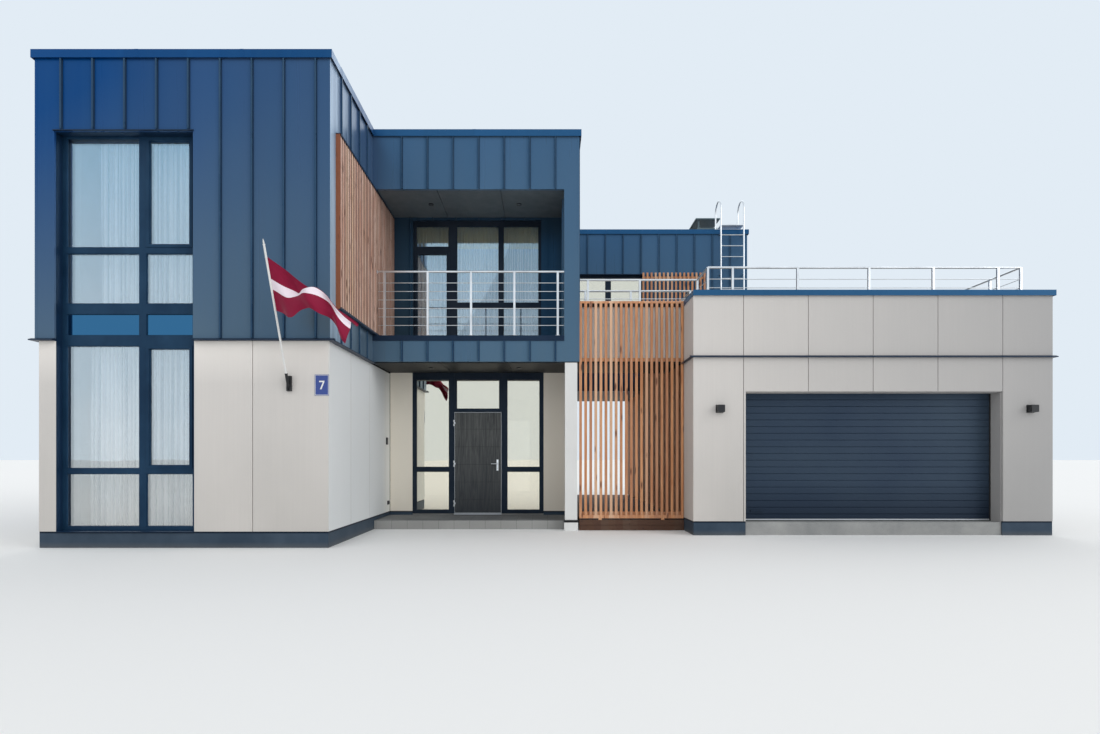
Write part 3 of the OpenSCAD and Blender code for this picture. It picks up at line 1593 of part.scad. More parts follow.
// Curtains hang from tracks behind the tall window and the balcony window.
curtain_t = 60;
curtain_depth = full_t + 60;
curtain_clear = 0.3;
curtain_lift = 15;
track_h = 30;
track_w = 40;
track_over = 40;
tall_curtain = [tall_window[0] + 170, tall_window[1] + track_over];
balcony_curtain = [balcony_opening[0] - 30, balcony_opening[1] - 20];
module curtain_track(span, top) {
    mid = curtain_depth + curtain_t / 2;
    block([span[0] - track_over, span[1] + track_over],
        [mid - track_w / 2, mid + track_w / 2], [top - track_h, top]);
}
module curtain(span, bottom, top)
    block(span, [curtain_depth, curtain_depth + curtain_t],
        [bottom + curtain_lift, top - track_h - curtain_clear]);
module curtain_tracks()
    color("white") {
        on_face(face_front) {
            curtain_track(tall_curtain, slab_z);
            curtain_track(tall_curtain, roof_slab_z);
        }
        on_face(face_porch) curtain_track(balcony_curtain, roof_slab_z);
    }
module curtains()
    color("white") {
        on_face(face_front) {
            curtain(tall_curtain, floor_z, slab_z);
            curtain(tall_curtain, upper_floor_z, roof_slab_z);
        }
        on_face(face_porch) curtain(balcony_curtain, upper_floor_z, roof_slab_z);
    }

house_foundation();
garage_foundation();
porch_step();
passage_deck();
front_wall();
left_wall();
recess_side_wall();
porch_walls();
balcony_wall();
balcony_portal();
passage_wall();
rear_wall();
upper_front_wall();
upper_end_wall();
garage_front_wall();
garage_side_walls();
garage_rear_wall();
first_floor();
terrace_slab();
upper_block_floor();
house_roof();
bridge();
metal_cladding();
facade_panels();
plinth();
drip_flashing();
copings();
reveal_linings();
side_timber();
slat_screen();
passage_slats();
terrace_slats();
soffits();
corner_post();
front_window();
balcony_window();
entrance_frame();
upper_window();
plain_windows();
window_glass();
door_leaf();
door_hinges();
leaf_hinges();
door_handle();
garage_door();
balcony_railing();
terrace_railing();
bridge_railing();
roof_ladder();
chimney();
lamps();
wall_fittings();
number_plate();
flag_bracket();
flag_pole();
flag();
curtain_tracks();
curtains();
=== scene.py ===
"""The looks of a detached modern house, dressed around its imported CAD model.

Metres, +Z up, fronts towards -Y. Every new piece is a surface worked out with numpy.
A form is a pair: its points (n, 3) and its faces, as lists of point numbers.
"""
import math

import bmesh
import bpy
import numpy as np
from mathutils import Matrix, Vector


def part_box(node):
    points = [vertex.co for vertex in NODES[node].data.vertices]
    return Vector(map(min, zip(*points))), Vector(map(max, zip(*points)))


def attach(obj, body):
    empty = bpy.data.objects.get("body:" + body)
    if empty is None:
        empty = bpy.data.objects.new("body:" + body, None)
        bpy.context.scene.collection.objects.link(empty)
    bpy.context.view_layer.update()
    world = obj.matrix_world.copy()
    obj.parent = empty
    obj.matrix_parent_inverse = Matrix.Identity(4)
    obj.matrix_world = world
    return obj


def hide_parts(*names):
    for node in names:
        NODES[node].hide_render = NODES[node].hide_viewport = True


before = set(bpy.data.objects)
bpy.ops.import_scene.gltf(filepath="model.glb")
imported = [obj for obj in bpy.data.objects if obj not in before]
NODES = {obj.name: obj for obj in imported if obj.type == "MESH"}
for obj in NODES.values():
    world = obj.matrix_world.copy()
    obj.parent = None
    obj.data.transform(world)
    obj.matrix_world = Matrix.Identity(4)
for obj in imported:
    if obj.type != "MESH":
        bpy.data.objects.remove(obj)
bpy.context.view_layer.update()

# Build-up of the facades, outwards from the walls' structure
METAL_T = 0.065
PANEL_T = 0.030
SEAM_PITCH = 0.482
FIRST_SEAM = -4.074
PANEL_PITCH = 1.147
GARAGE_JOINT = 6.769
FRONT_JOINT = -1.192

# Plan lines and levels, read from the frame
house_low, house_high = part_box("house_foundation")
garage_low, garage_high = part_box("garage_foundation")
X_LEFT = house_low.x - METAL_T
X_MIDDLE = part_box("front_wall")[1].x + METAL_T
X_PASSAGE = house_high.x + METAL_T
X_GARAGE = garage_low.x - PANEL_T
X_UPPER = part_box("upper_front_wall")[1].x + METAL_T
X_RIGHT = garage_high.x + PANEL_T
Y_FRONT = house_low.y - METAL_T
Y_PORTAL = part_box("balcony_portal")[0].y - METAL_T
Y_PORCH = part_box("balcony_wall")[0].y - METAL_T
Y_GARAGE = garage_low.y - PANEL_T
Y_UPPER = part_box("upper_front_wall")[0].y - METAL_T
Y_REAR = house_high.y + METAL_T
Z_FLOOR = house_high.z
Z_SPANDREL = (3.24, 3.61)
Z_PLINTH_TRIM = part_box("plinth")[1].z - 0.028
Z_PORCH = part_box("porch_step")[1].z
Z_UPPER_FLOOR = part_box("first_floor")[1].z
Z_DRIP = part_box("drip_flashing")[0].z
Z_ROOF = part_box("house_roof")[1].z
Z_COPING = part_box("copings")[1].z

# Grooves of the door leaf
GROOVE_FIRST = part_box("door_leaf")[0].z + 0.276
GROOVE_PITCH = 0.373
GROOVE_W = 0.008

# Timber: the slats' width and half their gap, and how many steps each run has
SLAT_W = 0.050
HALF_GAP = 0.02
SCREEN_STEPS = 20
TIMBER_STEPS = 37
PASSAGE_STEPS = 81
TERRACE_STEPS = 15
DECK_PITCH = 0.138

# Each metal facade is the left end of its finished face seen from outside and its
# turn, with its width.
METAL_FACADES = {
    (X_LEFT, Y_FRONT, 0): X_MIDDLE - X_LEFT,
    (X_LEFT, Y_REAR, -90): Y_REAR - Y_FRONT,
    (X_MIDDLE, Y_FRONT, 90): Y_PORCH - Y_FRONT,
    (X_MIDDLE, Y_PORTAL, 0): X_PASSAGE - X_MIDDLE,
    (X_PASSAGE, Y_PORTAL, 90): Y_REAR - Y_PORTAL,
    (X_PASSAGE, Y_UPPER, 0): X_UPPER - X_PASSAGE,
    (X_UPPER, Y_UPPER, 90): Y_REAR - Y_UPPER,
    (X_UPPER, Y_REAR, 180): X_UPPER - X_LEFT,
}


# Meshes from arrays

def make_piece(name, form, finish, body="house", smooth=False, closed=True):
    """A mesh object of a form, at the origin, with its finish and slot, riding on its
    body. A closed form's faces turn outwards."""
    points, faces = form
    mesh = bpy.data.meshes.new(name)
    mesh.from_pydata(points.tolist(), [], [list(map(int, face)) for face in faces])
    if closed:
        shell = bmesh.new()
        shell.from_mesh(mesh)
        bmesh.ops.recalc_face_normals(shell, faces=shell.faces)
        shell.to_mesh(mesh)
        shell.free()
    mesh.polygons.foreach_set("use_smooth", np.full(len(mesh.polygons), smooth))
    mesh.materials.append(finish)
    mesh.update()
    piece = bpy.data.objects.new(name, mesh)
    bpy.context.scene.collection.objects.link(piece)
    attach(piece, body)
    return piece


def on_grid(*coordinates):
    """Coordinates that vary over rows, columns or both, as one array on the grid."""
    return np.stack(np.broadcast_arrays(*coordinates), -1)


def make_cloth(name, points, u, v, finish):
    """A thin sheet on a grid of points, with a UV map of u and v over the same grid."""
    faces = grid_faces(*points.shape[:2])
    form = points.reshape(-1, 3), faces
    piece = make_piece(name, form, finish, smooth=True, closed=False)
    uv = piece.data.uv_layers.new(name="cloth")
    corners = np.empty(len(piece.data.loops), np.int32)
    piece.data.loops.foreach_get("vertex_index", corners)
    uv.data.foreach_set("uv", on_grid(u, v).reshape(-1, 2)[corners].ravel())
    return piece


def rows_of(values):
    """One row of numbers or several, as an array of rows."""
    return np.atleast_2d(np.asarray(values, float))


def joined(forms):
    """Several forms as one, with the point numbers shifted along."""
    starts = np.cumsum([0] + [len(points) for points, _ in forms])
    points = np.concatenate([points for points, _ in forms])
    faces = [[n + start for n in face] for start, form in zip(starts, forms) for face in form[1]]
    return points, faces


def repeated(points, faces):
    """Copies of a form: points of (copies, n, 3), with the faces of one copy."""
    return joined([(copy, faces) for copy in points])


def turned(degrees):
    """The turn about Z by an angle, as a matrix that rows of points are put through."""
    c, s = math.cos(math.radians(degrees)), math.sin(math.radians(degrees))
    return np.array([[c, s, 0], [-s, c, 0], [0, 0, 1]])


def on_facade(form, facade):
    """A form given as (right along the face, inwards from it, height), turned about Z
    by the facade's angle and moved to its left end."""
    points, faces = form
    x, y, turn = facade
    return points @ turned(turn) + [x, y, 0], faces


def grid_faces(rows, columns, close_rows=False, close_columns=False):
    """Quads between neighbours of a grid of rows times columns points, row after row."""
    r = np.arange(rows if close_rows else rows - 1)[:, None]
    c = np.arange(columns if close_columns else columns - 1)[None, :]
    r2, c2 = (r + 1) % rows, (c + 1) % columns
    quads = on_grid(r * columns + c, r * columns + c2, r2 * columns + c2, r2 * columns + c)
    return quads.reshape(-1, 4).tolist()


def capped(rings, sides):
    """The faces over rings of points, ring after ring, with a flat face on both ends."""
    last = (rings - 1) * sides
    ends = [list(range(sides))[::-1], list(range(last, last + sides))]
    return grid_faces(rings, sides, close_columns=True) + ends


BOX_CORNERS = np.array([[x, y, z] for x in (0, 1) for y in (0, 1) for z in (0, 1)])


def box_point(axis, end):
    """The number of a chamfered box's point: at the corner with this end (0 or 1) on
    each axis, the one of its three points that lies in full reach along an axis."""
    return 3 * (4 * end[0] + 2 * end[1] + end[2]) + axis


def chamfer_faces():
    """The quads of the sides and edges and the triangles of the corners of a chamfered
    box, by its points' numbers."""
    faces = [[first, first + 1, first + 2] for first in range(0, 24, 3)]
    for a, b, c in ((0, 1, 2), (1, 2, 0), (2, 0, 1)):
        for k in (0, 1):
            round_side = ((0, 0), (1, 0), (1, 1), (0, 1))
            faces.append([box_point(a, {a: k, b: i, c: j}) for i, j in round_side])
        for i, j in ((0, 0), (0, 1), (1, 0), (1, 1)):
            round_edge = ((b, 0), (b, 1), (c, 1), (c, 0))
            faces.append([box_point(side, {a: k, b: i, c: j}) for side, k in round_edge])
    return faces


def chamfered(lows, highs, bevel):
    """A box with chamfered edges for each pair of corners. Each corner has three
    points: each lies in full reach along one axis, and the bevel short along the
    others."""
    lows = rows_of(lows)[:, None, None]
    highs = rows_of(highs)[:, None, None]
    corner = BOX_CORNERS[:, None]
    short = bevel * (1 - np.eye(3))
    points = lows + corner * (highs - lows) + (1 - 2 * corner) * short
    return repeated(points.reshape(len(points), -1, 3), chamfer_faces())


def prisms(outline, starts, ends, axis=2):
    """A closed outline of two coordinates carried straight along an axis, from each
    start point to each end point, with flat ends."""
    section = np.insert(rows_of(outline), axis, 0, axis=1)
    rings = [rows_of(places)[:, None] + section for places in (starts, ends)]
    return repeated(np.concatenate(rings, axis=1), capped(2, len(section)))


def circle(side, up, sides):
    """Points of a unit circle: side cos a + up sin a, for equal steps of a."""
    angles = np.linspace(0, 2 * np.pi, sides, endpoint=False)
    return np.outer(np.cos(angles), side) + np.outer(np.sin(angles), up)


def square_to(direction):
    """A unit vector square to a direction, level unless the direction is upright."""
    side = np.cross(direction, [0, 0, 1] if abs(direction[2]) < 0.9 else [1, 0, 0])
    return side / np.linalg.norm(side)


def tube(path, radius, sides=12):
    """A round tube along a path: each point's ring lies square to the mean direction of
    its two stretches, at radius (cos a, sin a) on two axes carried along. Flat ends."""
    path = rows_of(path)
    ahead = np.gradient(path, axis=0)
    ahead /= np.linalg.norm(ahead, axis=1)[:, None]
    side = square_to(ahead[0])
    rings = []
    for point, direction in zip(path, ahead):
        side = side - direction * (side @ direction)
        side /= np.linalg.norm(side)
        rings.append(point + radius * circle(side, np.cross(direction, side), sides))
    return np.concatenate(rings), capped(len(path), sides)


def turned_studs(places, facing, profile, sides=10):
    """A turned form at each place: its profile of (radius, height) points is spun round
    the facing unit vector, from the base ring to the closed tip."""
    facing = np.asarray(facing, float)
    side = square_to(facing)
    radius, height = rows_of(profile).T[..., None, None]
    one = radius * circle(side, np.cross(facing, side), sides) + height * facing
    points = rows_of(places)[:, None] + one.reshape(-1, 3)
    return repeated(points, capped(len(profile), sides))


def mitred_ring(opening, profile):
    """A mitred ring inside an opening (left, right, bottom, top): every point (inwards
    from the edge, depth) of the closed profile runs round the four corners."""
    left, right, bottom, top = opening
    corners = np.array([[left, bottom], [right, bottom], [right, top], [left, top]])
    inwards = np.array([[1, 1], [-1, 1], [-1, -1], [1, -1]])
    profile = rows_of(profile)
    flat = corners[:, None] + inwards[:, None] * profile[:, :1]
    points = on_grid(flat[..., 0], profile[:, 1], flat[..., 1])
    return points.reshape(-1, 3), grid_faces(4, len(profile), True, True)


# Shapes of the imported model

def points_of(node):
    """A CAD node's points."""
    mesh = NODES[node].data
    points = np.empty(len(mesh.vertices) * 3, np.float32)
    mesh.vertices.foreach_get("co", points)
    return points.reshape(-1, 3)


def solids_of(node):
    """The (low, high) corners of every separate solid of a CAD node: its points that
    share a place are merged, and the least label spreads over its triangles."""
    mesh = NODES[node].data
    mesh.calc_loop_triangles()
    triangles = np.empty(len(mesh.loop_triangles) * 3, np.int32)
    mesh.loop_triangles.foreach_get("vertices", triangles)
    places, merged = np.unique(np.round(points_of(node), 4), axis=0, return_inverse=True)
    triangles = merged.ravel()[triangles].reshape(-1, 3)
    labels = np.arange(len(places))
    while True:
        least = labels[triangles].min(axis=1)
        spread = labels.copy()
        np.minimum.at(spread, triangles.ravel(), np.repeat(least, 3))
        spread = spread[spread]
        if (spread == labels).all():
            break
        labels = spread
    found = [places[labels == label] for label in np.unique(labels)]
    return [(solid.min(axis=0), solid.max(axis=0)) for solid in found]


# Materials

def srgb(red, green, blue):
    """A colour given from 0 to 255 as it shows, in the linear values that shaders take."""
    shown = np.array([red, green, blue]) / 255
    linear = np.where(shown <= 0.04045, shown / 12.92, ((shown + 0.055) / 1.055) ** 2.4)
    return (*linear.tolist(), 1.0)


def step_of(operation):
    """A method that puts a value through one step of arithmetic with another."""
    return lambda self, other: self.finish.calc(operation, self, other)


class Value:
    """A node's output in a finish. A sign of arithmetic on it adds a Math node, and a
    comparison gives 1 or 0."""

    __add__ = step_of("ADD")
    __sub__ = step_of("SUBTRACT")
    __mul__ = step_of("MULTIPLY")
    __truediv__ = step_of("DIVIDE")
    __gt__ = step_of("GREATER_THAN")
    __lt__ = step_of("LESS_THAN")

    def __init__(self, finish, socket):
        self.finish = finish
        self.socket = socket

    def __abs__(self):
        return self.finish.calc("ABSOLUTE", self)


def between(value, low, high):
    """1 where a value lies between two numbers, and 0 elsewhere."""
    return (value > low) * (value < high)


# A Mix node's sockets for colours, by their numbers
COLOUR_A = 6
COLOUR_B = 7
COLOUR_MIXED = 2


class Finish:
    """A procedural material: one Principled shader, and nodes that feed it. A colour is
    three numbers from 0 to 255 as it shows, or four linear ones."""

    def __init__(self, name, **sockets):
        self.material = bpy.data.materials.new(name)
        self.material.use_nodes = True
        self.nodes = self.material.node_tree.nodes
        self.links = self.material.node_tree.links
        self.nodes.clear()
        self.shader = self.nodes.new("ShaderNodeBsdfPrincipled")
        output = self.nodes.new("ShaderNodeOutputMaterial")
        self.links.new(self.shader.outputs["BSDF"], output.inputs["Surface"])
        self.place = self.node("TexCoord", "Object")
        self.shade(**sockets)

    def feed(self, socket, value):
        """Links a node's output to a socket, or sets a plain value on it."""
        if isinstance(value, Value):
            self.links.new(value.socket, socket)
        elif socket.type == "RGBA" and len(value) == 3:
            socket.default_value = srgb(*value)
        else:
            socket.default_value = value

    def shade(self, **sockets):
        """Feeds the shader's own sockets."""
        for name, value in sockets.items():
            self.feed(self.shader.inputs[name.replace("_", " ")], value)

    def node(self, kind, output, inputs=None, **settings):
        """Adds a node with its settings, feeds its inputs and returns one output."""
        node = self.nodes.new("ShaderNode" + kind)
        for name, value in settings.items():
            setattr(node, name, value)
        for name, value in (inputs or {}).items():
            self.feed(node.inputs[name], value)
        return Value(self, node.outputs[output])

    def scaled(self, place, scale):
        """A place, the piece's own if none is given, times a scale for each axis."""
        scale = np.full(3, scale, float)
        return self.node("Mapping", "Vector", {"Vector": place or self.place, "Scale": scale})

    def noise(self, scale, detail=3.0, rough=0.5, warp=0.0, place=None):
        """Cloudy noise from 0 to 1, with scale in cycles a metre along each axis."""
        return self.node("TexNoise", "Fac", {
            "Vector": self.scaled(place, scale), "Scale": 1.0,
            "Detail": detail, "Roughness": rough, "Distortion": warp,
        })

    def cells(self, scale, place=None):
        """The distance to the nearest of scattered centres, scale of them a metre."""
        inputs = {"Vector": self.scaled(place, scale), "Scale": 1.0}
        return self.node("TexVoronoi", "Distance", inputs)

    def calc(self, operation, a, b=0.0):
        """One step of arithmetic."""
        return self.node("Math", "Value", {0: a, 1: b}, operation=operation)

    def axis(self, letter, place=None):
        """One coordinate of a place, the piece's own if none is given."""
        return self.node("SeparateXYZ", letter, {"Vector": place or self.place})

    def facing(self, letter):
        """How far the surface faces along an axis, from -1 to 1."""
        return self.axis(letter, self.node("TexCoord", "Normal"))

    def spread(self, value, low, high, new_low=0.0, new_high=1.0):
        """A value from low to high carried to new_low to new_high, and held at both ends."""
        numbers = enumerate((value, low, high, new_low, new_high))
        return self.node("MapRange", "Result", dict(numbers))

    def ruled(self, value, pitch, width, start=0.0):
        """1 in lines of a width that repeat along a value from the start, 0 between."""
        return self.calc("FRACT", (value - start) / pitch) < width / pitch

    def random_by(self, number, seed=0.0):
        """A random number from 0 to 1 for each whole number that a value passes."""
        whole = self.calc("FLOOR", number) + seed
        return self.node("TexWhiteNoise", "Value", {"W": whole}, noise_dimensions="1D")

    def mix(self, share, first, second):
        """Two colours mixed by a share."""
        inputs = {"Factor": share, COLOUR_A: first, COLOUR_B: second}
        return self.node("Mix", COLOUR_MIXED, inputs, data_type="RGBA")

    def layered(self, colour, *layers):
        """A colour under layers, each a share and the colour that is mixed in by it."""
        for share, over in layers:
            colour = self.mix(share, colour, over)
        return colour

    def done(self, colour, roughness, *bumps):
        """Feeds the shader and returns the material. The surface is bent by each bump in
        turn: a height from 0 to 1, its full depth in metres, and a strength."""
        bent = {}
        for height, depth, strength in bumps:
            bump = {"Height": height, "Distance": depth, "Strength": strength}
            bent = {"Normal": self.node("Bump", "Normal", bump | bent)}
        self.shade(Base_Color=colour, Roughness=roughness, **bent)
        return self.material


SKY_TINT = (0.05, 0.42, 1.0, 1.0)
DUSK_TINT = (0.25, 0.4, 0.65, 1.0)
STEEL_TINT = (0.45, 0.6, 0.85, 1.0)
PLAIN_TINT = (1.0, 1.0, 1.0, 1.0)
ORANGE_LARCH = ((188, 120, 76), (226, 168, 120))
PINK_LARCH = ((216, 158, 134), (252, 226, 210))

# Steps that keep the random lots of boards, slabs and grain apart
LOTS_APART = 23.0
SLABS_APART = 57.0
GRAIN_APART = 37.0


def tray_number(f):
    """A number for the tray between two seams, on the faces that look to the front.
    The seams are counted from the first on each of the three fronts."""
    across = f.axis("X")
    first = (across > X_MIDDLE) * (X_MIDDLE - FIRST_SEAM) + FIRST_SEAM
    first = first + (across > X_PASSAGE) * (X_PASSAGE - X_MIDDLE)
    return (across - first) / SEAM_PITCH


def sheet_metal(name, low, high, roughness=0.3):
    """Coated steel sheet: its colour deepens from the foot to the top, most of all towards the
    left, as a painted reflection of the sky and the ground. It is a little paler right of the
    front block, painted light on the faces that stand in shade there. The balcony's back wall
    and the strip that the upper block shelters are darker with painted shade. Each tray has a
    tone of its own and buckles a little, faint rain streaks run down it, and a side that faces
    right has a painted highlight near its front edge."""
    f = Finish(name, IOR=1.5, Specular_Tint=SKY_TINT)
    x, y, z = f.axis("X"), f.axis("Y"), f.axis("Z")
    clouds = f.noise((0.35, 0.35, 0.25), detail=2)
    streaks = f.noise((9.0, 9.0, 0.25), detail=4)
    waves = f.noise((1.7, 1.7, 0.55), detail=1)
    grain = f.noise(160, detail=2)
    # painted reflection: grey at the foot, deepening to blue at the top, most of all towards the
    # left
    rise = f.spread(z, 3.2, 7.2) * f.spread(x, X_LEFT, X_MIDDLE, 1.1, 0.45)
    deep = f.spread(rise + f.spread(clouds, 0.3, 0.7, -0.10, 0.10), 0.0, 1.0)
    tray = (f.facing("Y") < -0.5) * (f.random_by(tray_number(f)) * 0.16)
    # painted shade on the balcony's back wall, which lies deep in shade
    balcony_painted_shade = between(x, X_MIDDLE - 0.02, X_PASSAGE - 0.3) * between(y, Y_PORCH - 0.2, 0.0)
    # painted shade on the strip under the upper block, seen from below in its shadow
    sheltered_painted_shade = (z < Z_UPPER_FLOOR) * between(y, Y_UPPER - 0.1, Y_UPPER + 0.2)
    # painted highlight on the side that faces right, near its front edge, where it would mirror
    # the sky
    right = (f.facing("X") > 0.5) * between(x, X_MIDDLE - 0.02, X_MIDDLE + 0.05)
    near = f.spread(y, Y_FRONT, Y_FRONT + 1.4, 0.8, 0.0)
    colour = f.layered(
        f.mix(deep, low, high),
        (tray, (4, 22, 48)),
        (f.spread(streaks, 0.45, 0.75, 0.0, 0.07), (44, 92, 128)),
        # painted light: a little paler right of the front block, on faces that lie in shade
        # there
        (f.spread(x, X_MIDDLE - 0.05, X_MIDDLE + 0.3, 0.0, 0.11), (104, 156, 184)),
        (balcony_painted_shade * 0.7, (14, 26, 34)),
        (sheltered_painted_shade * 0.9, (30, 24, 22)),
        (right * near * f.spread(streaks, 0.35, 0.65, 0.3, 1.0), (186, 208, 228)),
    )
    rough = f.spread(streaks, 0.3, 0.8, roughness - 0.04, roughness + 0.08)
    return f.done(colour, rough, (waves, 0.012, 0.4), (grain, 0.0003, 0.1))


def board_number(f):
    """A number for each facade panel: counted along X on the fronts and along Y on the
    sides, and apart above and below the drip flashing."""
    x = f.axis("X")
    across = x - ((x < X_MIDDLE) * (FRONT_JOINT - GARAGE_JOINT) + GARAGE_JOINT)
    back = f.axis("Y") - (Y_FRONT + PANEL_PITCH)
    along = across + (abs(f.facing("X")) > 0.5) * (back - across)
    above = f.axis("Z") > Z_DRIP
    return f.calc("FLOOR", along / PANEL_PITCH) + above * LOTS_APART


def facade_board(name, colour):
    """A light facade panel: a tone of its own, fine upright brush marks, clouds and dust at the
    foot. The garage's front greys to the right with painted shade, painted warm light makes the
    porch warmer and painted cool light makes the recess side cooler than the rest, and painted
    light makes the panels under the drip flashing paler where it shades them."""
    f = Finish(name, IOR=1.45)
    x, y, z = f.axis("X"), f.axis("Y"), f.axis("Z")
    streaks = f.noise((46, 46, 0.6), detail=5, rough=0.65)
    clouds = f.noise((0.8, 0.8, 0.5))
    grain = f.noise(420, detail=2)
    lot = f.random_by(board_number(f), seed=5.0)
    porch = between(x, X_MIDDLE - 0.05, X_PASSAGE) * (y < Y_PORCH + 0.1)
    colour = f.layered(
        colour,
        (f.spread(streaks, 0.3, 0.7, 0.0, 0.16), (184, 180, 176)),
        (f.spread(clouds, 0.35, 0.75, 0.0, 0.22), (190, 188, 186)),
        (f.spread(grain, 0.45, 0.8, 0.0, 0.14), (160, 156, 150)),
        (lot * 0.10, (150, 148, 144)),
        (f.spread(z, 0.25, 2.6, 0.5, 0.0) * clouds, (150, 146, 138)),
        # painted shade: the garage greys towards its right end
        (f.spread(x, X_GARAGE, X_RIGHT, 0.0, 0.56), (122, 124, 128)),
        # painted warm light on the porch's walls, growing towards its back
        (porch * f.spread(y, Y_PORCH - 0.6, Y_PORCH - 0.02, 0.0, 0.55), (255, 246, 226)),
        # painted cool light on the recess side, which faces right
        (porch * (f.facing("X") > 0.5) * 0.45, (226, 236, 242)),
        # painted light under the drip flashing, which takes out the shade that it casts on the
        # front
        (f.spread(z, 2.5, 3.15, 0.0, 0.5) * (y < Y_FRONT + 0.1), (250, 244, 236)),
    )
    rough = f.spread(grain, 0.2, 0.8, 0.62, 0.8)
    return f.done(colour, rough, (streaks, 0.0012, 0.25), (grain, 0.0005, 0.25))


def drawn_out(along, lengthwise, across):
    """Cycles a metre on the three axes, for grain that runs along one of them."""
    return [lengthwise if letter == along else across for letter in "XYZ"]


def larch(name, axis, start, pitch, tint=0.0, along="Z", grooved=False, tones=ORANGE_LARCH):
    """Weathered larch boards. Every board, counted along an axis from the start, has its own
    tone and its own stretch of grain, with dark knots and pale sapwood. Single boards have
    painted shade on their sides. Where the boards are grooved, painted shade of their rounded
    edges darkens them towards each joint, and they have small flecks."""
    f = Finish(name, IOR=1.45)
    number = (f.axis(axis) - start) / pitch
    lot = f.random_by(number)
    shift = f.node("CombineXYZ", "Vector", {along: lot * GRAIN_APART})
    place = f.node("VectorMath", "Vector", {0: f.place, 1: shift})
    rings = f.noise(drawn_out(along, 1.2, 34), 4, 0.55, 1.4, place)
    fibres = f.noise(drawn_out(along, 5, 190), 3, 0.7, place=place)
    knots = f.cells(drawn_out(along, 2.1, 9), place)
    colour = f.layered(
        f.mix(f.spread(rings, 0.35, 0.65), *tones),
        (f.spread(fibres, 0.35, 0.75, 0.0, 0.45), (146, 96, 72)),
        (lot * 0.5, (160, 112, 90)),
        (f.spread(f.random_by(number, seed=71.0), 0.7, 1.0, 0.0, 0.6), (232, 196, 164)),
        (f.spread(knots, 0.10, 0.20, 0.85, 0.0), (92, 52, 36)),
        (tint, (52, 32, 24)),
    )
    if grooved:
        edge = abs(f.calc("FRACT", number) - 0.5) * 2.0
        flecks = f.cells(drawn_out(along, 4, 30), place)
        colour = f.layered(
            colour,
            # painted shade of the boards' rounded edges, darkest at each joint
            (f.spread(edge, 0.48, 0.74, 0.0, 0.95), (34, 20, 16)),
            (f.axis(axis) < start + 0.002, (140, 82, 54)),
            (f.spread(flecks, 0.10, 0.22, 0.6, 0.0), (74, 46, 36)),
        )
    else:
        # painted shade on the sides of single boards
        colour = f.mix((abs(f.facing(axis)) > 0.5) * 0.6, colour, (76, 42, 26))
    rough = f.spread(fibres, 0.2, 0.8, 0.6, 0.82)
    return f.done(colour, rough, (rings, 0.0015, 0.35), (fibres, 0.0012, 0.5))


def rain_clouds(f):
    """The clouds that dried rain leaves on coated metal."""
    return f.noise((1.6, 1.6, 1.1), detail=4, rough=0.6)


def coated(name, colour, worn, roughness=0.45, metallic=0.0, tint=PLAIN_TINT):
    """Powder-coated or painted metal: an even colour with a fine orange-peel skin and
    slightly paler clouds where rain has dried."""
    f = Finish(name, Metallic=metallic, IOR=1.42, Specular_Tint=tint)
    clouds = rain_clouds(f)
    tone = f.mix(f.spread(clouds, 0.35, 0.75, 0.0, 0.5), colour, worn)
    rough = f.spread(clouds, 0.3, 0.8, roughness - 0.06, roughness + 0.08)
    return f.done(tone, rough, (f.noise(320, detail=1), 0.0006, 0.3))


def window_paint_finish(name):
    """Dark paint of the windows' frames: deep blue on the left block, and nearly black right of
    it, painted shade for the shade that the porch, the balcony and the passage cast."""
    f = Finish(name, IOR=1.42, Specular_Tint=DUSK_TINT)
    clouds = rain_clouds(f)
    share = f.spread(clouds, 0.35, 0.75)
    blue = f.mix(share, (14, 38, 60), (32, 60, 84))
    black = f.mix(share, (22, 27, 34), (40, 46, 54))
    # painted shade: the frames right of the left block are nearly black
    tone = f.mix(f.axis("X") > X_MIDDLE, blue, black)
    rough = f.spread(clouds, 0.3, 0.8, 0.38, 0.52)
    return f.done(tone, rough, (f.noise(320, detail=1), 0.0006, 0.3))


def plinth_finish(name):
    """Blue-grey plinth boards under a dark flashing along their top edge."""
    f = Finish(name, IOR=1.42, Specular_Tint=DUSK_TINT)
    grain = f.noise(260, detail=2)
    tone = f.layered(
        f.mix(f.spread(rain_clouds(f), 0.35, 0.75), (50, 62, 74), (66, 78, 90)),
        (f.axis("Z") > Z_PLINTH_TRIM, (22, 28, 36)),
        (f.spread(f.axis("Z"), 0.0, 0.09, 0.35, 0.0), (112, 108, 100)),
    )
    return f.done(tone, f.spread(grain, 0.2, 0.8, 0.5, 0.66), (grain, 0.0006, 0.3))


def concrete(name, colour, dark):
    """Cast concrete: clouds, fine sand and small dark pores."""
    f = Finish(name, IOR=1.45)
    clouds = f.noise(1.3, detail=6, rough=0.6)
    sand = f.noise(240)
    tone = f.layered(
        f.mix(f.spread(clouds, 0.3, 0.7), dark, colour),
        (f.spread(sand, 0.4, 0.8, 0.0, 0.35), dark),
        (f.spread(f.cells(34), 0.08, 0.16, 0.5, 0.0), (70, 70, 68)),
    )
    rough = f.spread(sand, 0.2, 0.8, 0.75, 0.92)
    return f.done(tone, rough, (clouds, 0.003, 0.3), (sand, 0.001, 0.5))


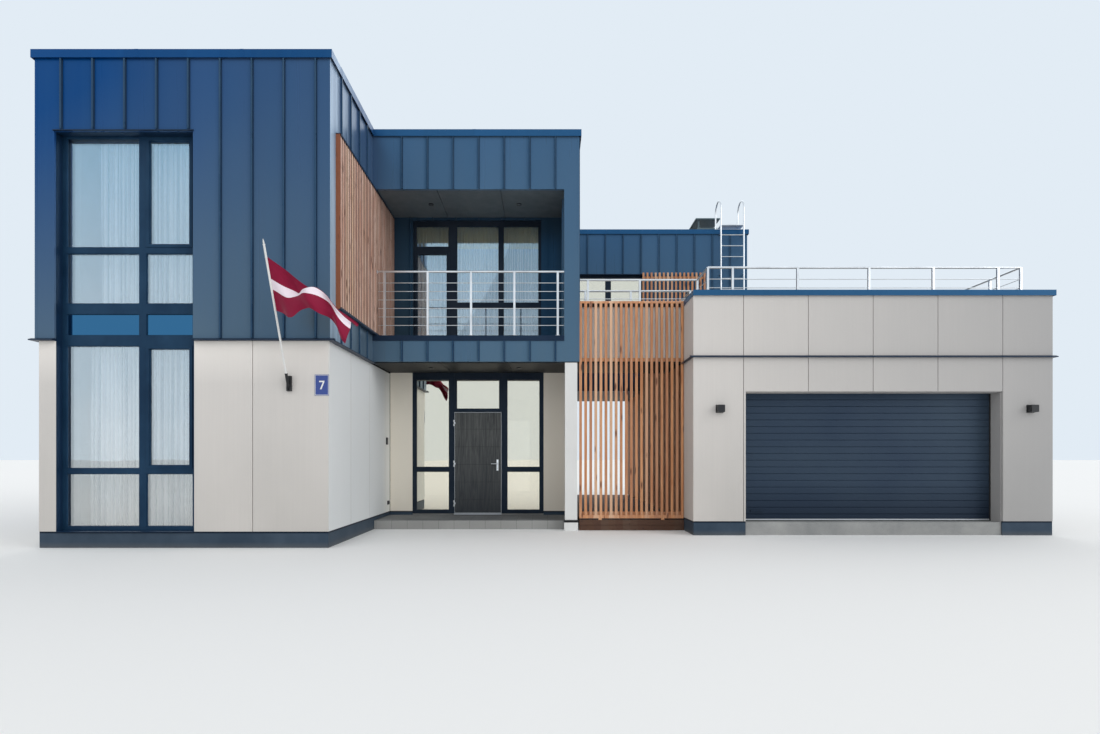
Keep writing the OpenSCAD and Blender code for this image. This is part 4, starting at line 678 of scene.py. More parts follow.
def paving(name, colour, dark, tile, joint, top=0.0):
    """Cut stone or concrete slabs laid in a grid of tiles, with dark joints. What lies
    below the top, where one is given, is paler."""
    f = Finish(name, IOR=1.45)
    across, back = f.axis("X"), f.axis("Y")
    lines = f.calc("MAXIMUM", f.ruled(across, tile, joint), f.ruled(back, tile, joint))
    sand = f.noise(240)
    number = f.calc("FLOOR", across / tile) + f.calc("FLOOR", back / tile) * SLABS_APART
    tone = f.layered(
        f.mix(f.spread(f.noise(1.3, detail=6, rough=0.6), 0.3, 0.7), dark, colour),
        (f.random_by(number) * 0.35, dark),
        (f.spread(sand, 0.4, 0.8, 0.0, 0.35), dark),
        ((f.axis("Z") < top) * 0.35, (190, 188, 182)),
        (lines * 0.75, (62, 62, 62)),
    )
    level = f.calc("SUBTRACT", 1.0, lines)
    rough = f.spread(sand, 0.2, 0.8, 0.7, 0.9)
    return f.done(tone, rough, (level, 0.004, 0.6), (sand, 0.001, 0.5))


def plaster(name, axis, sign):
    """Painted plaster, grey in the rooms as painted shade that keeps them dim, with pale render
    on the terrace's parapet and grey felt on the roof's. On the faces that look outward (along
    an axis by a sign, or for sign 0 away from the garage's middle) lies the black windproof
    sheet that shows in the cladding's joints."""
    f = Finish(name)
    height = f.axis("Z")
    grit = f.noise(260, detail=2)
    terrace = (height > Z_UPPER_FLOOR) * (f.axis("X") > X_GARAGE)
    sign = sign or f.calc("SIGN", f.axis("X") - (X_GARAGE + X_RIGHT) / 2)
    tone = f.layered(
        # painted shade: grey plaster that keeps the rooms dim
        f.mix(f.spread(f.noise(2.2, detail=4), 0.3, 0.7), (116, 120, 124), (136, 138, 140)),
        (terrace, (204, 202, 196)),
        (height > Z_ROOF, (104, 106, 108)),
        (f.facing(axis) * sign > 0.5, (30, 32, 36)),
    )
    return f.done(tone, f.spread(grit, 0.2, 0.8, 0.82, 0.95), (grit, 0.0008, 0.3))


def brushed(name, colour, along):
    """Brushed stainless steel, with fine lines of so many cycles a metre on each axis."""
    f = Finish(name, Metallic=1.0)
    fine = f.noise(along, rough=0.7)
    tone = f.mix(f.spread(f.noise(3), 0.3, 0.7, 0.0, 0.4), colour, (168, 170, 174))
    return f.done(tone, f.spread(fine, 0.2, 0.8, 0.24, 0.4), (fine, 0.0003, 0.3))


def membrane(name):
    """A grey roofing membrane with slate granules and lap seams along each sheet."""
    f = Finish(name)
    grit = f.noise(180, detail=2)
    laps = f.ruled(f.axis("X"), pitch=0.98, width=0.10)
    tone = f.layered(
        f.mix(f.spread(f.noise(0.7, detail=5), 0.3, 0.7), (92, 94, 96), (118, 119, 120)),
        (f.spread(grit, 0.4, 0.7, 0.0, 0.5), (140, 140, 140)),
        (laps * 0.4, (74, 76, 78)),
    )
    return f.done(tone, 0.9, (laps, 0.004, 0.7), (grit, 0.002, 0.6))


def soffit_board(name):
    """Fibre-cement soffit boards with a faint mottle, much darker below the upper floor with
    painted shade.
    """
    f = Finish(name, IOR=1.45)
    mottle = f.noise(5, detail=5, rough=0.6)
    grain = f.noise(300, detail=2)
    tone = f.mix(f.spread(mottle, 0.3, 0.7), (84, 94, 100), (100, 108, 112))
    # painted shade on the soffit below the upper floor
    tone = f.mix((f.axis("Z") < Z_UPPER_FLOOR) * 0.96, tone, (20, 23, 25))
    return f.done(tone, f.spread(grain, 0.2, 0.8, 0.5, 0.66), (grain, 0.0005, 0.3))


def door_leaf_finish(name):
    """An anthracite door skin pressed with upright wood grain, darker towards its foot,
    with a fine dark line in each cross groove."""
    f = Finish(name, IOR=1.48)
    height = f.axis("Z")
    rings = f.noise((22, 22, 1.0), 4, 0.6, 1.8)
    pores = f.noise((260, 260, 7), rough=0.7)
    line = f.ruled(height, GROOVE_PITCH, GROOVE_W, GROOVE_FIRST)
    tone = f.layered(
        f.mix(f.spread(rings, 0.38, 0.62), (50, 52, 54), (92, 94, 92)),
        (f.spread(pores, 0.4, 0.7, 0.0, 0.4), (36, 38, 40)),
        (f.spread(height, Z_FLOOR, Z_FLOOR + 1.7, 0.78, 0.0), (14, 24, 34)),
        (line * 0.7, (14, 15, 17)),
    )
    rough = f.spread(pores, 0.3, 0.7, 0.42, 0.58)
    return f.done(tone, rough, (rings, 0.0016, 0.6), (pores, 0.0012, 0.6))


def garage_door_finish(name):
    """An anthracite sectional door with an embossed skin, darker at its foot."""
    f = Finish(name, IOR=1.48, Specular_Tint=STEEL_TINT)
    emboss = f.noise((30, 30, 130), rough=0.6)
    tone = f.mix(f.spread(f.noise(0.6), 0.3, 0.7), (32, 44, 60), (46, 58, 70))
    tone = f.mix(f.spread(f.axis("Z"), 0.35, 0.95, 0.8, 0.0), tone, (6, 16, 30))
    return f.done(tone, f.spread(emboss, 0.3, 0.7, 0.4, 0.52), (emboss, 0.0012, 0.5))


def window_pane(name):
    """Coated double glazing. A share that grows with the angle of view mirrors the surroundings,
    and the rest passes through. The mirrored colour is a painted reflection of the sky: it pales
    from the deep blue of the upper storey to the ground. The entrance's and the upper block's
    panes are more neutral and mirror more, with a pale, warm painted reflection, and the row
    before the floor is opaque blue."""
    f = Finish(name, Metallic=1.0)
    height, back = f.axis("Z"), f.axis("Y")
    ripple = f.noise(0.9, detail=1)
    entrance = (height < Z_DRIP) * between(back, Y_PORCH - 0.1, Y_PORCH + 0.4)
    # painted reflection: a pale, warm mirrored colour on the entrance's and the upper block's
    # panes
    pale = f.calc("MAXIMUM", entrance, between(back, Y_UPPER - 0.1, Y_UPPER + 0.4))
    row = between(height, *Z_SPANDREL) * (back < Y_FRONT + 0.5)
    colour = f.layered(
        # painted reflection of the sky: deep blue high up, paler towards the ground
        f.mix(f.spread(height, 0.6, 6.3), (250, 252, 250), (172, 208, 230)),
        (f.spread(ripple, 0.3, 0.7, 0.0, 0.25), (186, 212, 226)),
        (pale, (250, 244, 226)),
        (row, (50, 98, 134)),
    )
    slant = f.node("LayerWeight", "Facing", {"Blend": 0.35})
    plain = f.spread(slant, 0.0, 1.0, 0.27, 0.95)
    strong = f.spread(slant, 0.0, 1.0, 0.78, 0.98)
    f.shade(Alpha=f.calc("MAXIMUM", plain + (strong - plain) * pale, row))
    return f.done(colour, 0.015, (ripple, 0.004, 0.3))


def cloth_sheer(name, plain, shaded, uneven=1.0, band=None):
    """Sheer curtain cloth: a fine weave that lets some light through, with painted shade where
    the piece's own UV map says that a fold lies back, and uneven streaks and drifts of painted
    light and shade for the larger folds. A band, where one is given as a height and a colour, is
    a painted reflection laid over the cloth above that height."""
    f = Finish(name, IOR=1.3)
    fold = f.axis("Y", f.node("UVMap", "UV"))
    threads = f.noise((900, 900, 90), detail=1)
    streaks = f.spread(f.noise((26, 26, 0.35)), 0.35, 0.7, -0.25, 0.35)
    drifts = f.spread(f.noise((5, 5, 0.4), detail=2), 0.35, 0.7, -0.2, 0.35)
    # painted shade in the folds that lie back, with streaks and drifts of painted light and
    # shade for the larger folds
    shade = f.spread(fold, 0.25, 1.0, 0.0, 0.85) + (streaks + drifts) * uneven
    tone = f.mix(f.spread(shade, 0.0, 1.0), plain, shaded)
    if band:
        # the band is a painted reflection laid over the top of the cloth
        height, colour = band
        tone = f.mix((f.axis("Z") > height) * 0.85, tone, colour)
    f.shade(Alpha=f.spread(threads, 0.3, 0.7, 0.84, 0.97))
    return f.done(tone, 0.9, (threads, 0.0004, 0.3))


def striped_cloth(name, outer, middle):
    """Woven flag cloth in three stripes along the fly: two fifths, one fifth and two fifths of
    the hoist, read from the piece's own UV map, with soft patches of painted shade for its
    folds."""
    f = Finish(name, IOR=1.35, Sheen_Weight=0.08, Sheen_Roughness=0.4)
    uv = f.node("UVMap", "UV")
    stripe = abs(f.axis("Y", uv) - 0.5) < 0.1
    # painted shade in soft patches for the cloth's folds
    crease_shade = f.noise((5, 3, 1), place=uv)
    colour = f.layered(
        outer,
        (stripe, middle),
        (f.spread(crease_shade, 0.4, 0.8, 0.0, 0.2), (96, 2, 34)),
    )
    return f.done(colour, 0.75, (f.noise((900, 450, 1), detail=1, place=uv), 0.0004, 0.4))


# Finishes of the CAD nodes

def assign(finish, *nodes):
    """Gives CAD nodes a finish, in the one slot that each has."""
    for node in nodes:
        materials = NODES[node].data.materials
        materials.clear()
        materials.append(finish)


cladding = sheet_metal("blue_sheet", (82, 98, 110), (0, 54, 110))
trim = sheet_metal("blue_coping", (30, 66, 102), (0, 58, 114), roughness=0.34)
# painted shade: the reveal linings and the seams' feet get a darker blue than the sheet, for the
# shade they lie in
painted_shade_lining = coated("painted_shade_lining", (16, 36, 58), (26, 50, 76), 0.4, tint=DUSK_TINT)
dark_trim = coated("dark_flashing", (24, 36, 54), (40, 54, 72), 0.4, tint=DUSK_TINT)
# painted light and shade: the standing seams get a colour of their own, apart from the sheet's,
# for the light and shade that they catch
seam_painted_shading = coated("seam_edge", (34, 60, 84), (60, 86, 108), 0.3, tint=DUSK_TINT)
chimney_sheet = coated("chimney_sheet", (92, 108, 112), (112, 124, 126), tint=DUSK_TINT)
light_board = facade_board("light_board", (208, 203, 198))
# painted light: the bridge's panels are the light boards made paler, for the shade that they lie
# in
bridge_board_painted_light = facade_board("bridge_board_painted_light", (236, 234, 230))
window_paint = window_paint_finish("dark_window_paint")
black_paint = coated("black_paint", (26, 27, 30), (40, 41, 44), 0.4)
white_paint = coated("white_paint", (222, 222, 220), (206, 206, 204), 0.5)
light_metal = coated("mill_aluminium", (196, 200, 204), (176, 180, 184), 0.35, metallic=0.6)
rubber = coated("black_rubber", (20, 20, 22), (30, 30, 32), 0.75)
satin_grey = coated("satin_grey", (58, 60, 64), (72, 74, 78), 0.35)
smoked_lens = coated("frosted_lens", (66, 68, 70), (56, 58, 60), 0.3)
plate_enamel = coated("blue_enamel", (50, 70, 138), (62, 82, 146), 0.25)
cast_concrete = concrete("cast_concrete", (160, 160, 158), (124, 126, 126))
porch_stone = paving("porch_stone", (128, 130, 130), (96, 98, 100), 0.30, 0.005, Z_PORCH - 0.004)
pavers = paving("terrace_pavers", (168, 166, 160), (136, 136, 132), 0.50, 0.006)
steel_upright = brushed("stainless_upright", (234, 236, 238), (260, 260, 8))
steel_along = brushed("stainless_along", (234, 236, 238), (8, 260, 260))
rail_steel = brushed("stainless_studs", (190, 192, 196), 160)

screen_low, screen_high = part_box("slat_screen")
screen_step = (screen_high.x - screen_low.x - SLAT_W) / SCREEN_STEPS
timber_low, timber_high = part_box("side_timber")
timber_step = (timber_high.y - timber_low.y) / TIMBER_STEPS
slats_low, slats_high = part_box("passage_slats")
slats_step = (slats_high.y - slats_low.y) / PASSAGE_STEPS
panel_low, panel_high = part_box("terrace_slats")
panel_step = (panel_high.x - panel_low.x - SLAT_W) / TERRACE_STEPS

assign(cladding, "metal_cladding")
assign(trim, "copings")
assign(painted_shade_lining, "reveal_linings")
assign(dark_trim, "drip_flashing")
assign(chimney_sheet, "chimney")
assign(light_board, "facade_panels")
assign(bridge_board_painted_light, "bridge")
assign(plinth_finish("plinth_board"), "plinth")
assign(window_paint, "front_window", "balcony_window", "entrance_frame", "upper_window",
       "plain_windows")
assign(black_paint, "lamps", "wall_fittings", "flag_bracket")
assign(white_paint, "corner_post", "flag_pole", "curtain_tracks")
assign(cast_concrete, "house_foundation", "garage_foundation", "first_floor",
       "upper_block_floor")
assign(porch_stone, "porch_step")
assign(pavers, "terrace_slab")
assign(plaster("plaster_front", "Y", -1.0), "front_wall", "porch_walls", "balcony_wall",
       "balcony_portal", "upper_front_wall", "garage_front_wall")
assign(plaster("plaster_rear", "Y", 1.0), "rear_wall", "garage_rear_wall")
assign(plaster("plaster_left", "X", -1.0), "left_wall")
assign(plaster("plaster_right", "X", 1.0), "recess_side_wall", "passage_wall",
       "upper_end_wall")
assign(plaster("plaster_garage", "X", 0.0), "garage_side_walls")
assign(membrane("roof_membrane"), "house_roof")
assign(larch("larch_side", "Y", timber_low.y, timber_step, grooved=True, tones=PINK_LARCH),
       "side_timber")
assign(larch("larch_screen", "X", screen_low.x - HALF_GAP, screen_step), "slat_screen")
assign(larch("larch_passage", "Y", slats_low.y, slats_step), "passage_slats")
assign(larch("larch_terrace", "X", panel_low.x - HALF_GAP, panel_step), "terrace_slats")
assign(larch("dark_deck", "X", X_PASSAGE, DECK_PITCH, tint=0.9, along="Y"), "passage_deck")
assign(soffit_board("soffit_board"), "soffits")
assign(window_pane("window_pane"), "window_glass")
assign(door_leaf_finish("door_skin"), "door_leaf")
assign(garage_door_finish("garage_door_skin"), "garage_door")
assign(steel_upright, "door_hinges", "leaf_hinges", "door_handle", "roof_ladder")
assign(steel_along, "balcony_railing", "terrace_railing", "bridge_railing")
assign(plate_enamel, "number_plate")


# Glazing

REAR_WALL_DEPTH = 0.5
BEAD = [(-0.002, 0.002), (0.011, 0.002), (0.011, -0.003), (0.003, -0.020), (-0.002, -0.020)]


def glazing_beads():
    """A sloping painted bead round every pane, between its frame and the glass. Each
    pane is taken as an opening in the facade at the glass's outer face."""
    beads = []
    for low, high in solids_of("window_glass"):
        if high[0] - low[0] < high[1] - low[1]:
            facade = (low[0], 0, -90)
            sides = (-high[1], -low[1])
        elif low[1] > Y_REAR - REAR_WALL_DEPTH:
            facade = (0, high[1], 180)
            sides = (-high[0], -low[0])
        else:
            facade = (0, low[1], 0)
            sides = (low[0], high[0])
        beads.append(on_facade(mitred_ring((*sides, low[2], high[2]), BEAD), facade))
    make_piece("glazing_beads", joined(beads), window_paint)


glazing_beads()


# Sheet-metal details

NEAR = 0.001
MILLIMETRES = 3
SEAM_H = 0.030
SEAM_SHORT = 0.002
SEAM_FOLD = [(-0.003, -0.020), (-0.003, -0.032), (0.000, -0.035), (0.015, -0.035),
             (0.019, -0.032), (0.019, -0.016), (0.016, -0.016), (0.016, -0.0295),
             (0.000, -0.0295), (0.000, -0.020)]
# the profile of a fillet at the right foot of every seam, kept dark as painted shade
SEAM_FOOT = [(0.014, 0.0), (0.030, 0.0), (0.019, -0.003), (0.0155, -0.008), (0.0142, -0.018)]


def seams_on(facade, width):
    """The standing seams of a facade, as (left edge, foot, top): the points of the
    cladding that lie a seam's height before the facade, paired along each left edge."""
    x, y, turn = facade
    along, depth, height = ((points_of("metal_cladding") - [x, y, 0]) @ turned(turn).T).T
    kept = (np.abs(depth + SEAM_H) < NEAR) & (np.abs(along - width / 2) < width / 2 - 5 * NEAR)
    spots = np.unique(np.round(on_grid(along, height)[kept], MILLIMETRES), axis=0)
    found = []
    for left in np.unique(spots[:, 0])[::2]:
        heights = np.sort(spots[spots[:, 0] == left][:, 1])
        found += [(left, low, high) for low, high in heights.reshape(-1, 2)]
    return np.array(found)


def along_seams(name, profile, finish):
    """A profile of (across, depth) points carried up every seam of every facade, and
    left a little short of the seam's top."""
    forms = []
    for facade, width in METAL_FACADES.items():
        left, foot, top = seams_on(facade, width).T
        starts = on_grid(left, 0, foot)
        ends = on_grid(left, 0, top - SEAM_SHORT)
        forms.append(on_facade(prisms(profile, starts, ends), facade))
    make_piece(name, joined(forms), finish)


along_seams("seam_folds", SEAM_FOLD, seam_painted_shading)
# dark fillets at the seams' feet: painted shadow beside every seam
along_seams("seam_feet_painted_shade", SEAM_FOOT, painted_shade_lining)

TRIM_SECTION = np.array([(0.002, -0.001), (0.0005, 0.002), (-0.001, 0.002), (-0.036, 0.002),
                         (-0.036, 0.0), (0.0, 0.0), (0.0, -0.036), (0.002, -0.036)])
COPING_H = 0.130
DRIP_H = 0.042
BLOCK_GAP = 0.01


def corner_trims():
    """An angle of folded sheet up every outer corner of the metal, with a bevelled
    edge. Each is given by its corner, the way out along X and Y, and its foot."""
    foot = Z_DRIP + DRIP_H
    corners = [
        (X_LEFT, Y_FRONT, -1, -1, foot), (X_MIDDLE, Y_FRONT, 1, -1, foot),
        (X_PASSAGE, Y_PORTAL, 1, -1, foot), (X_LEFT, Y_REAR, -1, 1, foot),
        (X_UPPER, Y_UPPER, 1, -1, Z_UPPER_FLOOR + BLOCK_GAP), (X_UPPER, Y_REAR, 1, 1, foot),
    ]
    top = Z_COPING - COPING_H
    forms = [prisms(TRIM_SECTION * [out_x, out_y], [x, y, low], [x, y, top])
             for x, y, out_x, out_y, low in corners]
    make_piece("corner_trims", joined(forms), cladding)


corner_trims()


# Small fittings

BEVEL = 0.0015
FINE_BEVEL = 0.0004
POST_REACH = 0.07
FLANGE = 0.045
FLANGE_T = 0.008
BOLT_INSET = 0.013
BOLT = [(0.009, 0.0), (0.009, 0.003), (0.0075, 0.004), (0.0065, 0.008), (0.004, 0.0095)]
SCREW = [(0.0045, 0.0), (0.0045, 0.0008), (0.0030, 0.0016), (0.0010, 0.0012)]
DOWN = (0, 0, -1)
UP = (0, 0, 1)
FRONTWARDS = (0, -1, 0)
RIGHTWARDS = (1, 0, 0)


def edge_strip(proud, width):
    """The section of a flat strip that lies this proud of a face, inside its edge."""
    return [(0, 0), (0, -proud), (width, -proud), (width, 0)]


def opening_in(low, high, inset):
    """A box's front as an opening, drawn in by an inset."""
    return low.x + inset, high.x - inset, low.z + inset, high.z - inset


def post_feet(node):
    """The middles of a railing's post feet: the mean of the points near each other at
    its lowest level."""
    points = points_of(node)
    feet = points[points[:, 2] < points[:, 2].min() + NEAR][:, :2]
    near = np.linalg.norm(feet[:, None] - feet[None], axis=2) < POST_REACH
    means = (near[..., None] * feet[None]).sum(axis=1) / near.sum(axis=1)[:, None]
    return np.unique(np.round(means, MILLIMETRES), axis=0)


def railing_feet():
    """A square flange with four capped bolts under every railing post."""
    railings = ("balcony_railing", "terrace_railing", "bridge_railing")
    feet = np.concatenate([post_feet(node) for node in railings])
    middles = on_grid(*feet.T, Z_UPPER_FLOOR)
    half = np.array([FLANGE, FLANGE, 0])
    top = middles + [0, 0, FLANGE_T]
    plates = chamfered(middles - half, top + half, BEVEL)
    corners = np.array([(i, j, 0) for i in (-1, 1) for j in (-1, 1)]) * (FLANGE - BOLT_INSET)
    places = (top[:, None] + corners).reshape(-1, 3)
    bolts = turned_studs(places, UP, BOLT, sides=8)
    make_piece("railing_feet", joined([plates, bolts]), rail_steel)


def number_plate_face():
    """A white rim and a plain numeral on the blue plate."""
    low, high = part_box("number_plate")
    proud, rim_w = 0.0015, 0.006
    rim = mitred_ring(opening_in(low, high, rim_w), edge_strip(proud, rim_w))
    seven = [(-0.040, 0.065), (0.040, 0.065), (0.040, 0.046), (-0.004, -0.065),
             (-0.028, -0.065), (0.016, 0.044), (-0.040, 0.044)]
    middle = (low + high) / 2
    numeral = prisms(seven, [middle.x, low.y - proud, middle.z], [middle.x, low.y, middle.z], 1)
    form = joined([on_facade(rim, (0, low.y, 0)), numeral])
    make_piece("number_plate_face", form, white_paint)


DOWNLIGHT_R = 0.045
DOWNLIGHT_H = 0.02
BEZEL = [(0.045, 0.0), (0.053, 0.0), (0.053, 0.002), (0.047, 0.005), (0.036, 0.003),
         (0.034, 0.0005)]
DOWNLIGHT_LENS = [(0.033, 0.0), (0.030, 0.0018), (0.018, 0.0026), (0.004, 0.0028)]
BACK_PLATE_T = 0.006
BACK_PLATE_RIM = 0.008
LENS_BEVEL = 0.001


def lamp_details():
    """Bezels and lenses: a turned ring round each downlight, and for each square wall
    lamp a back plate and two smoked lenses, under and over it."""
    lamps = np.array(solids_of("lamps"))
    flat = lamps[:, 1, 2] - lamps[:, 0, 2] < DOWNLIGHT_H
    down = lamps[flat][:, 0] + [DOWNLIGHT_R, DOWNLIGHT_R, 0]
    left, back, foot = lamps[~flat][:, 0].T
    right, wall, head = lamps[~flat][:, 1].T
    rings = turned_studs(down, DOWN, BEZEL, sides=28)
    rim = BACK_PLATE_RIM
    plates = chamfered(on_grid(left - rim, wall - BACK_PLATE_T, foot - rim),
                       on_grid(right + rim, wall, head + rim), BEVEL)
    make_piece("lamp_bezels", joined([rings, plates]), black_paint)
    discs = turned_studs(down, DOWN, DOWNLIGHT_LENS, sides=28)
    inset, sunk, proud = 0.014, 0.002, 0.003
    left, right, back, wall = left + inset, right - inset, back + inset, wall - inset
    under = chamfered(on_grid(left, back, foot - proud), on_grid(right, wall, foot + sunk),
                      LENS_BEVEL)
    over = chamfered(on_grid(left, back, head - sunk), on_grid(right, wall, head + proud),
                     LENS_BEVEL)
    make_piece("lamp_lenses", joined([discs, under, over]), smoked_lens)


CALL_LENS = [(0.014, 0), (0.014, 0.002), (0.012, 0.005), (0.008, 0.0085), (0.002, 0.0100)]
CALL_LENS_DOWN = 0.030
CALL_BUTTON = [(0.012, 0), (0.012, 0.003), (0.010, 0.0045), (0.003, 0.0045)]
CALL_BUTTON_UP = 0.028
SLOTS = 5
SLOT_PITCH = 0.008
SLOT_SIZE = np.array([0.0012, 0.040, 0.003])
FIRST_SLOT_DOWN = 0.062
FLAP_RIM = 0.008
FLAP_T = 0.009


def wall_fitting_details():
    """On the entrance's intercom a domed lens, a grille of slots and a round button,
    and on the socket a sprung flap with its hinge."""
    call, plug = sorted(solids_of("wall_fittings"), key=lambda box: -box[0][2])
    face, middle, top = call[1][0], (call[0][1] + call[1][1]) / 2, call[1][2]
    lens = turned_studs([face, middle, top - CALL_LENS_DOWN], RIGHTWARDS, CALL_LENS, sides=20)
    push = [face, middle, call[0][2] + CALL_BUTTON_UP]
    button = turned_studs(push, RIGHTWARDS, CALL_BUTTON, sides=20)
    rows = top - FIRST_SLOT_DOWN - SLOT_PITCH * np.arange(SLOTS)
    grille = on_grid(face, middle - SLOT_SIZE[1] / 2, rows)
    slots = chamfered(grille, grille + SLOT_SIZE, FINE_BEVEL)
    low, high = plug
    face, top = high[0], high[2]
    flap = chamfered([face, low[1] + FLAP_RIM, low[2] + FLAP_RIM],
                     [face + FLAP_T, high[1] - FLAP_RIM, top - 0.012], 0.003)
    pin_r, pin_ends = 0.004, [low[1] + 0.010, high[1] - 0.010]
    hinge = tube(on_grid(face + pin_r, pin_ends, top - FLAP_T), pin_r)
    form = joined([lens, button, slots, flap, hinge])
    make_piece("wall_fitting_details", form, satin_grey)


LEAF_STRIP_T = 0.003
LEAF_STRIP_W = 0.006
LOCK = [(0.011, 0), (0.011, 0.004), (0.009, 0.005), (0.003, 0.005)]
LOCK_FROM_EDGE = 0.082
LOCK_UP = 0.045
LOCK_PLATE_T = 0.008
SILL_Y = -0.038
SILL_H = 0.024
CAP_SIZE = np.array([0.020, 0.036, 0.029])
CAP_BEVEL = 0.002


def door_details():
    """A pale edge strip round the leaf and the lock cylinder in its plate, which ride
    on the door, and an aluminium threshold with end caps, which stays."""
    low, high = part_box("door_leaf")
    strip = mitred_ring(opening_in(low, high, NEAR), edge_strip(LEAF_STRIP_T, LEAF_STRIP_W))
    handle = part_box("door_handle")[0]
    lock = [high.x - LOCK_FROM_EDGE, low.y - LOCK_PLATE_T, handle.z + LOCK_UP]
    cylinder = turned_studs(lock, FRONTWARDS, LOCK, sides=20)
    form = joined([on_facade(strip, (0, low.y, 0)), cylinder])
    make_piece("door_edge_strip", form, light_metal, body="front_door")
    nosing = np.array([(-0.0035, -SILL_H), (-0.0035, 0.001), (-0.001, 0.003),
                       (-0.003 - SILL_Y, 0.003), (-0.003 - SILL_Y, 0), (0, 0), (0, -SILL_H)])
    sill = [low.y + SILL_Y, Z_FLOOR]
    bar = prisms(nosing, [low.x + 0.002, *sill], [high.x - 0.002, *sill], axis=0)
    left = low.x - 0.006
    right = high.x + 0.006 - CAP_SIZE[0]
    ends = on_grid([left, right], sill[0] - 0.008, sill[1] - 0.027)
    caps = chamfered(ends, ends + CAP_SIZE, CAP_BEVEL)
    make_piece("door_threshold", joined([bar, caps]), light_metal)


GARAGE_DOOR_BACK = 0.294
SEAL_SHORT = 0.004
SEAL_HOLDER = [(-0.003, 0.012), (-0.007, 0.014), (-0.007, 0.032), (-0.003, 0.036), (0, 0.036),
               (0, 0.012)]
SEAL_LIP = [(-0.010, 0.001), (-0.011, 0.006), (-0.006, 0.012), (0, 0.012), (0, 0.001)]
GUIDE = np.array([(0, 0), (0, -0.010), (0.004, -0.014), (0.030, -0.014), (0.034, -0.010),
                  (0.034, 0)])


def garage_door_details():
    """A pale seal holder with its rubber lip along the door's foot, and dark guides up
    both sides."""
    low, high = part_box("garage_door")
    face = Y_GARAGE + GARAGE_DOOR_BACK
    start = [low.x + SEAL_SHORT, face, low.z]
    end = [high.x - SEAL_SHORT, face, low.z]
    holder = prisms(SEAL_HOLDER, start, end, axis=0)
    make_piece("garage_seal_holder", holder, light_metal)
    forms = [prisms(SEAL_LIP, start, end, axis=0)]
    for x, way in ((low.x, 1), (high.x, -1)):
        forms.append(prisms(GUIDE * [way, 1], [x, face, low.z + NEAR], [x, face, high.z - NEAR]))
    make_piece("garage_guides", joined(forms), rubber)


BAND_T = 0.002
BAND_Z = (0.150, 0.201)


def screen_details():
    """A dark strip behind the slats under the screen's cap, a painted shadow of the cap, and a
    bitumen band round the foot of the light post."""
    low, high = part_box("slat_screen")
    # painted shadow of the cap: a dark strip behind the slats' tops
    strip = chamfered([low.x + NEAR, low.y + 0.0305, high.z - 0.105],
                      [high.x - NEAR, low.y + 0.032, high.z - 0.0405], FINE_BEVEL)
    low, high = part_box("corner_post")
    band = chamfered([low.x - BAND_T, low.y - BAND_T, BAND_Z[0]],
                     [high.x + BAND_T, high.y + BAND_T, BAND_Z[1]], 0.004)
    make_piece("dark_bands", joined([strip, band]), rubber)


def timber_flashings():
    """A dark folded strip over the top and under the foot of the grooved timber."""
    low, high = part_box("side_timber")
    edge = high.x + 0.010
    over = np.array([(0.0, 0.0), (edge, 0.0), (edge, -0.030), (edge + 0.003, -0.030),
                     (edge + 0.003, 0.006), (0.0, 0.012)])
    forms = []
    for height, way in ((high.z + NEAR, 1), (low.z - NEAR, -1)):
        forms.append(prisms(over * [1, way], [0, low.y - 0.004, height], [0, high.y, height], 1))
    make_piece("timber_flashings", joined(forms), dark_trim)


def slat_screws():
    """Two screws, one over the other, where a slat of the screen crosses a batten."""
    low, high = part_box("slat_screen")
    across = low.x + SLAT_W / 2 + np.arange(SCREEN_STEPS + 1) * screen_step
    battens = (low.z + 0.123, Z_DRIP + 0.062, high.z - 0.071)
    apart = (-0.012, 0.012)
    spots = [(x, low.y, z + up) for x in across for z in battens for up in apart]
    screws = turned_studs(spots, FRONTWARDS, SCREW, sides=8)
    make_piece("slat_screws", screws, rail_steel)


STRAP_W = 0.060
STRAP_T = 0.0015
STRAP_H = 0.122
FRONT_STRAPS = (-2.95, -1.35)
PORTAL_STRAP = 1.90


def coping_straps():
    """Cover straps over the copings' joints: a folded strip down the front face."""
    low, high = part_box("copings")
    outline = [(0.004, 0.0), (-STRAP_T, 0.0), (-STRAP_T, -STRAP_H), (0.0, -STRAP_H),
               (0.0, -STRAP_T), (0.004, -STRAP_T)]
    top = high.z + STRAP_T
    places = [(x, low.y) for x in FRONT_STRAPS]
    places.append((PORTAL_STRAP, Y_PORTAL + low.y - Y_FRONT))
    forms = [prisms(outline, [x, y, top], [x + STRAP_W, y, top], axis=0) for x, y in places]
    make_piece("coping_straps", joined(forms), trim)


timber_flashings()
slat_screws()
coping_straps()
railing_feet()
number_plate_face()
lamp_details()
wall_fitting_details()
door_details()
garage_door_details()
screen_details()


# Cloth

FOLD_PITCH = 0.078
FINE_FOLD_PITCH = 0.060
COLUMNS_A_FOLD = 12
CURTAIN_ROWS = 20
REFLECTION_BAND_H = 0.50
FIRST_SEED = 3


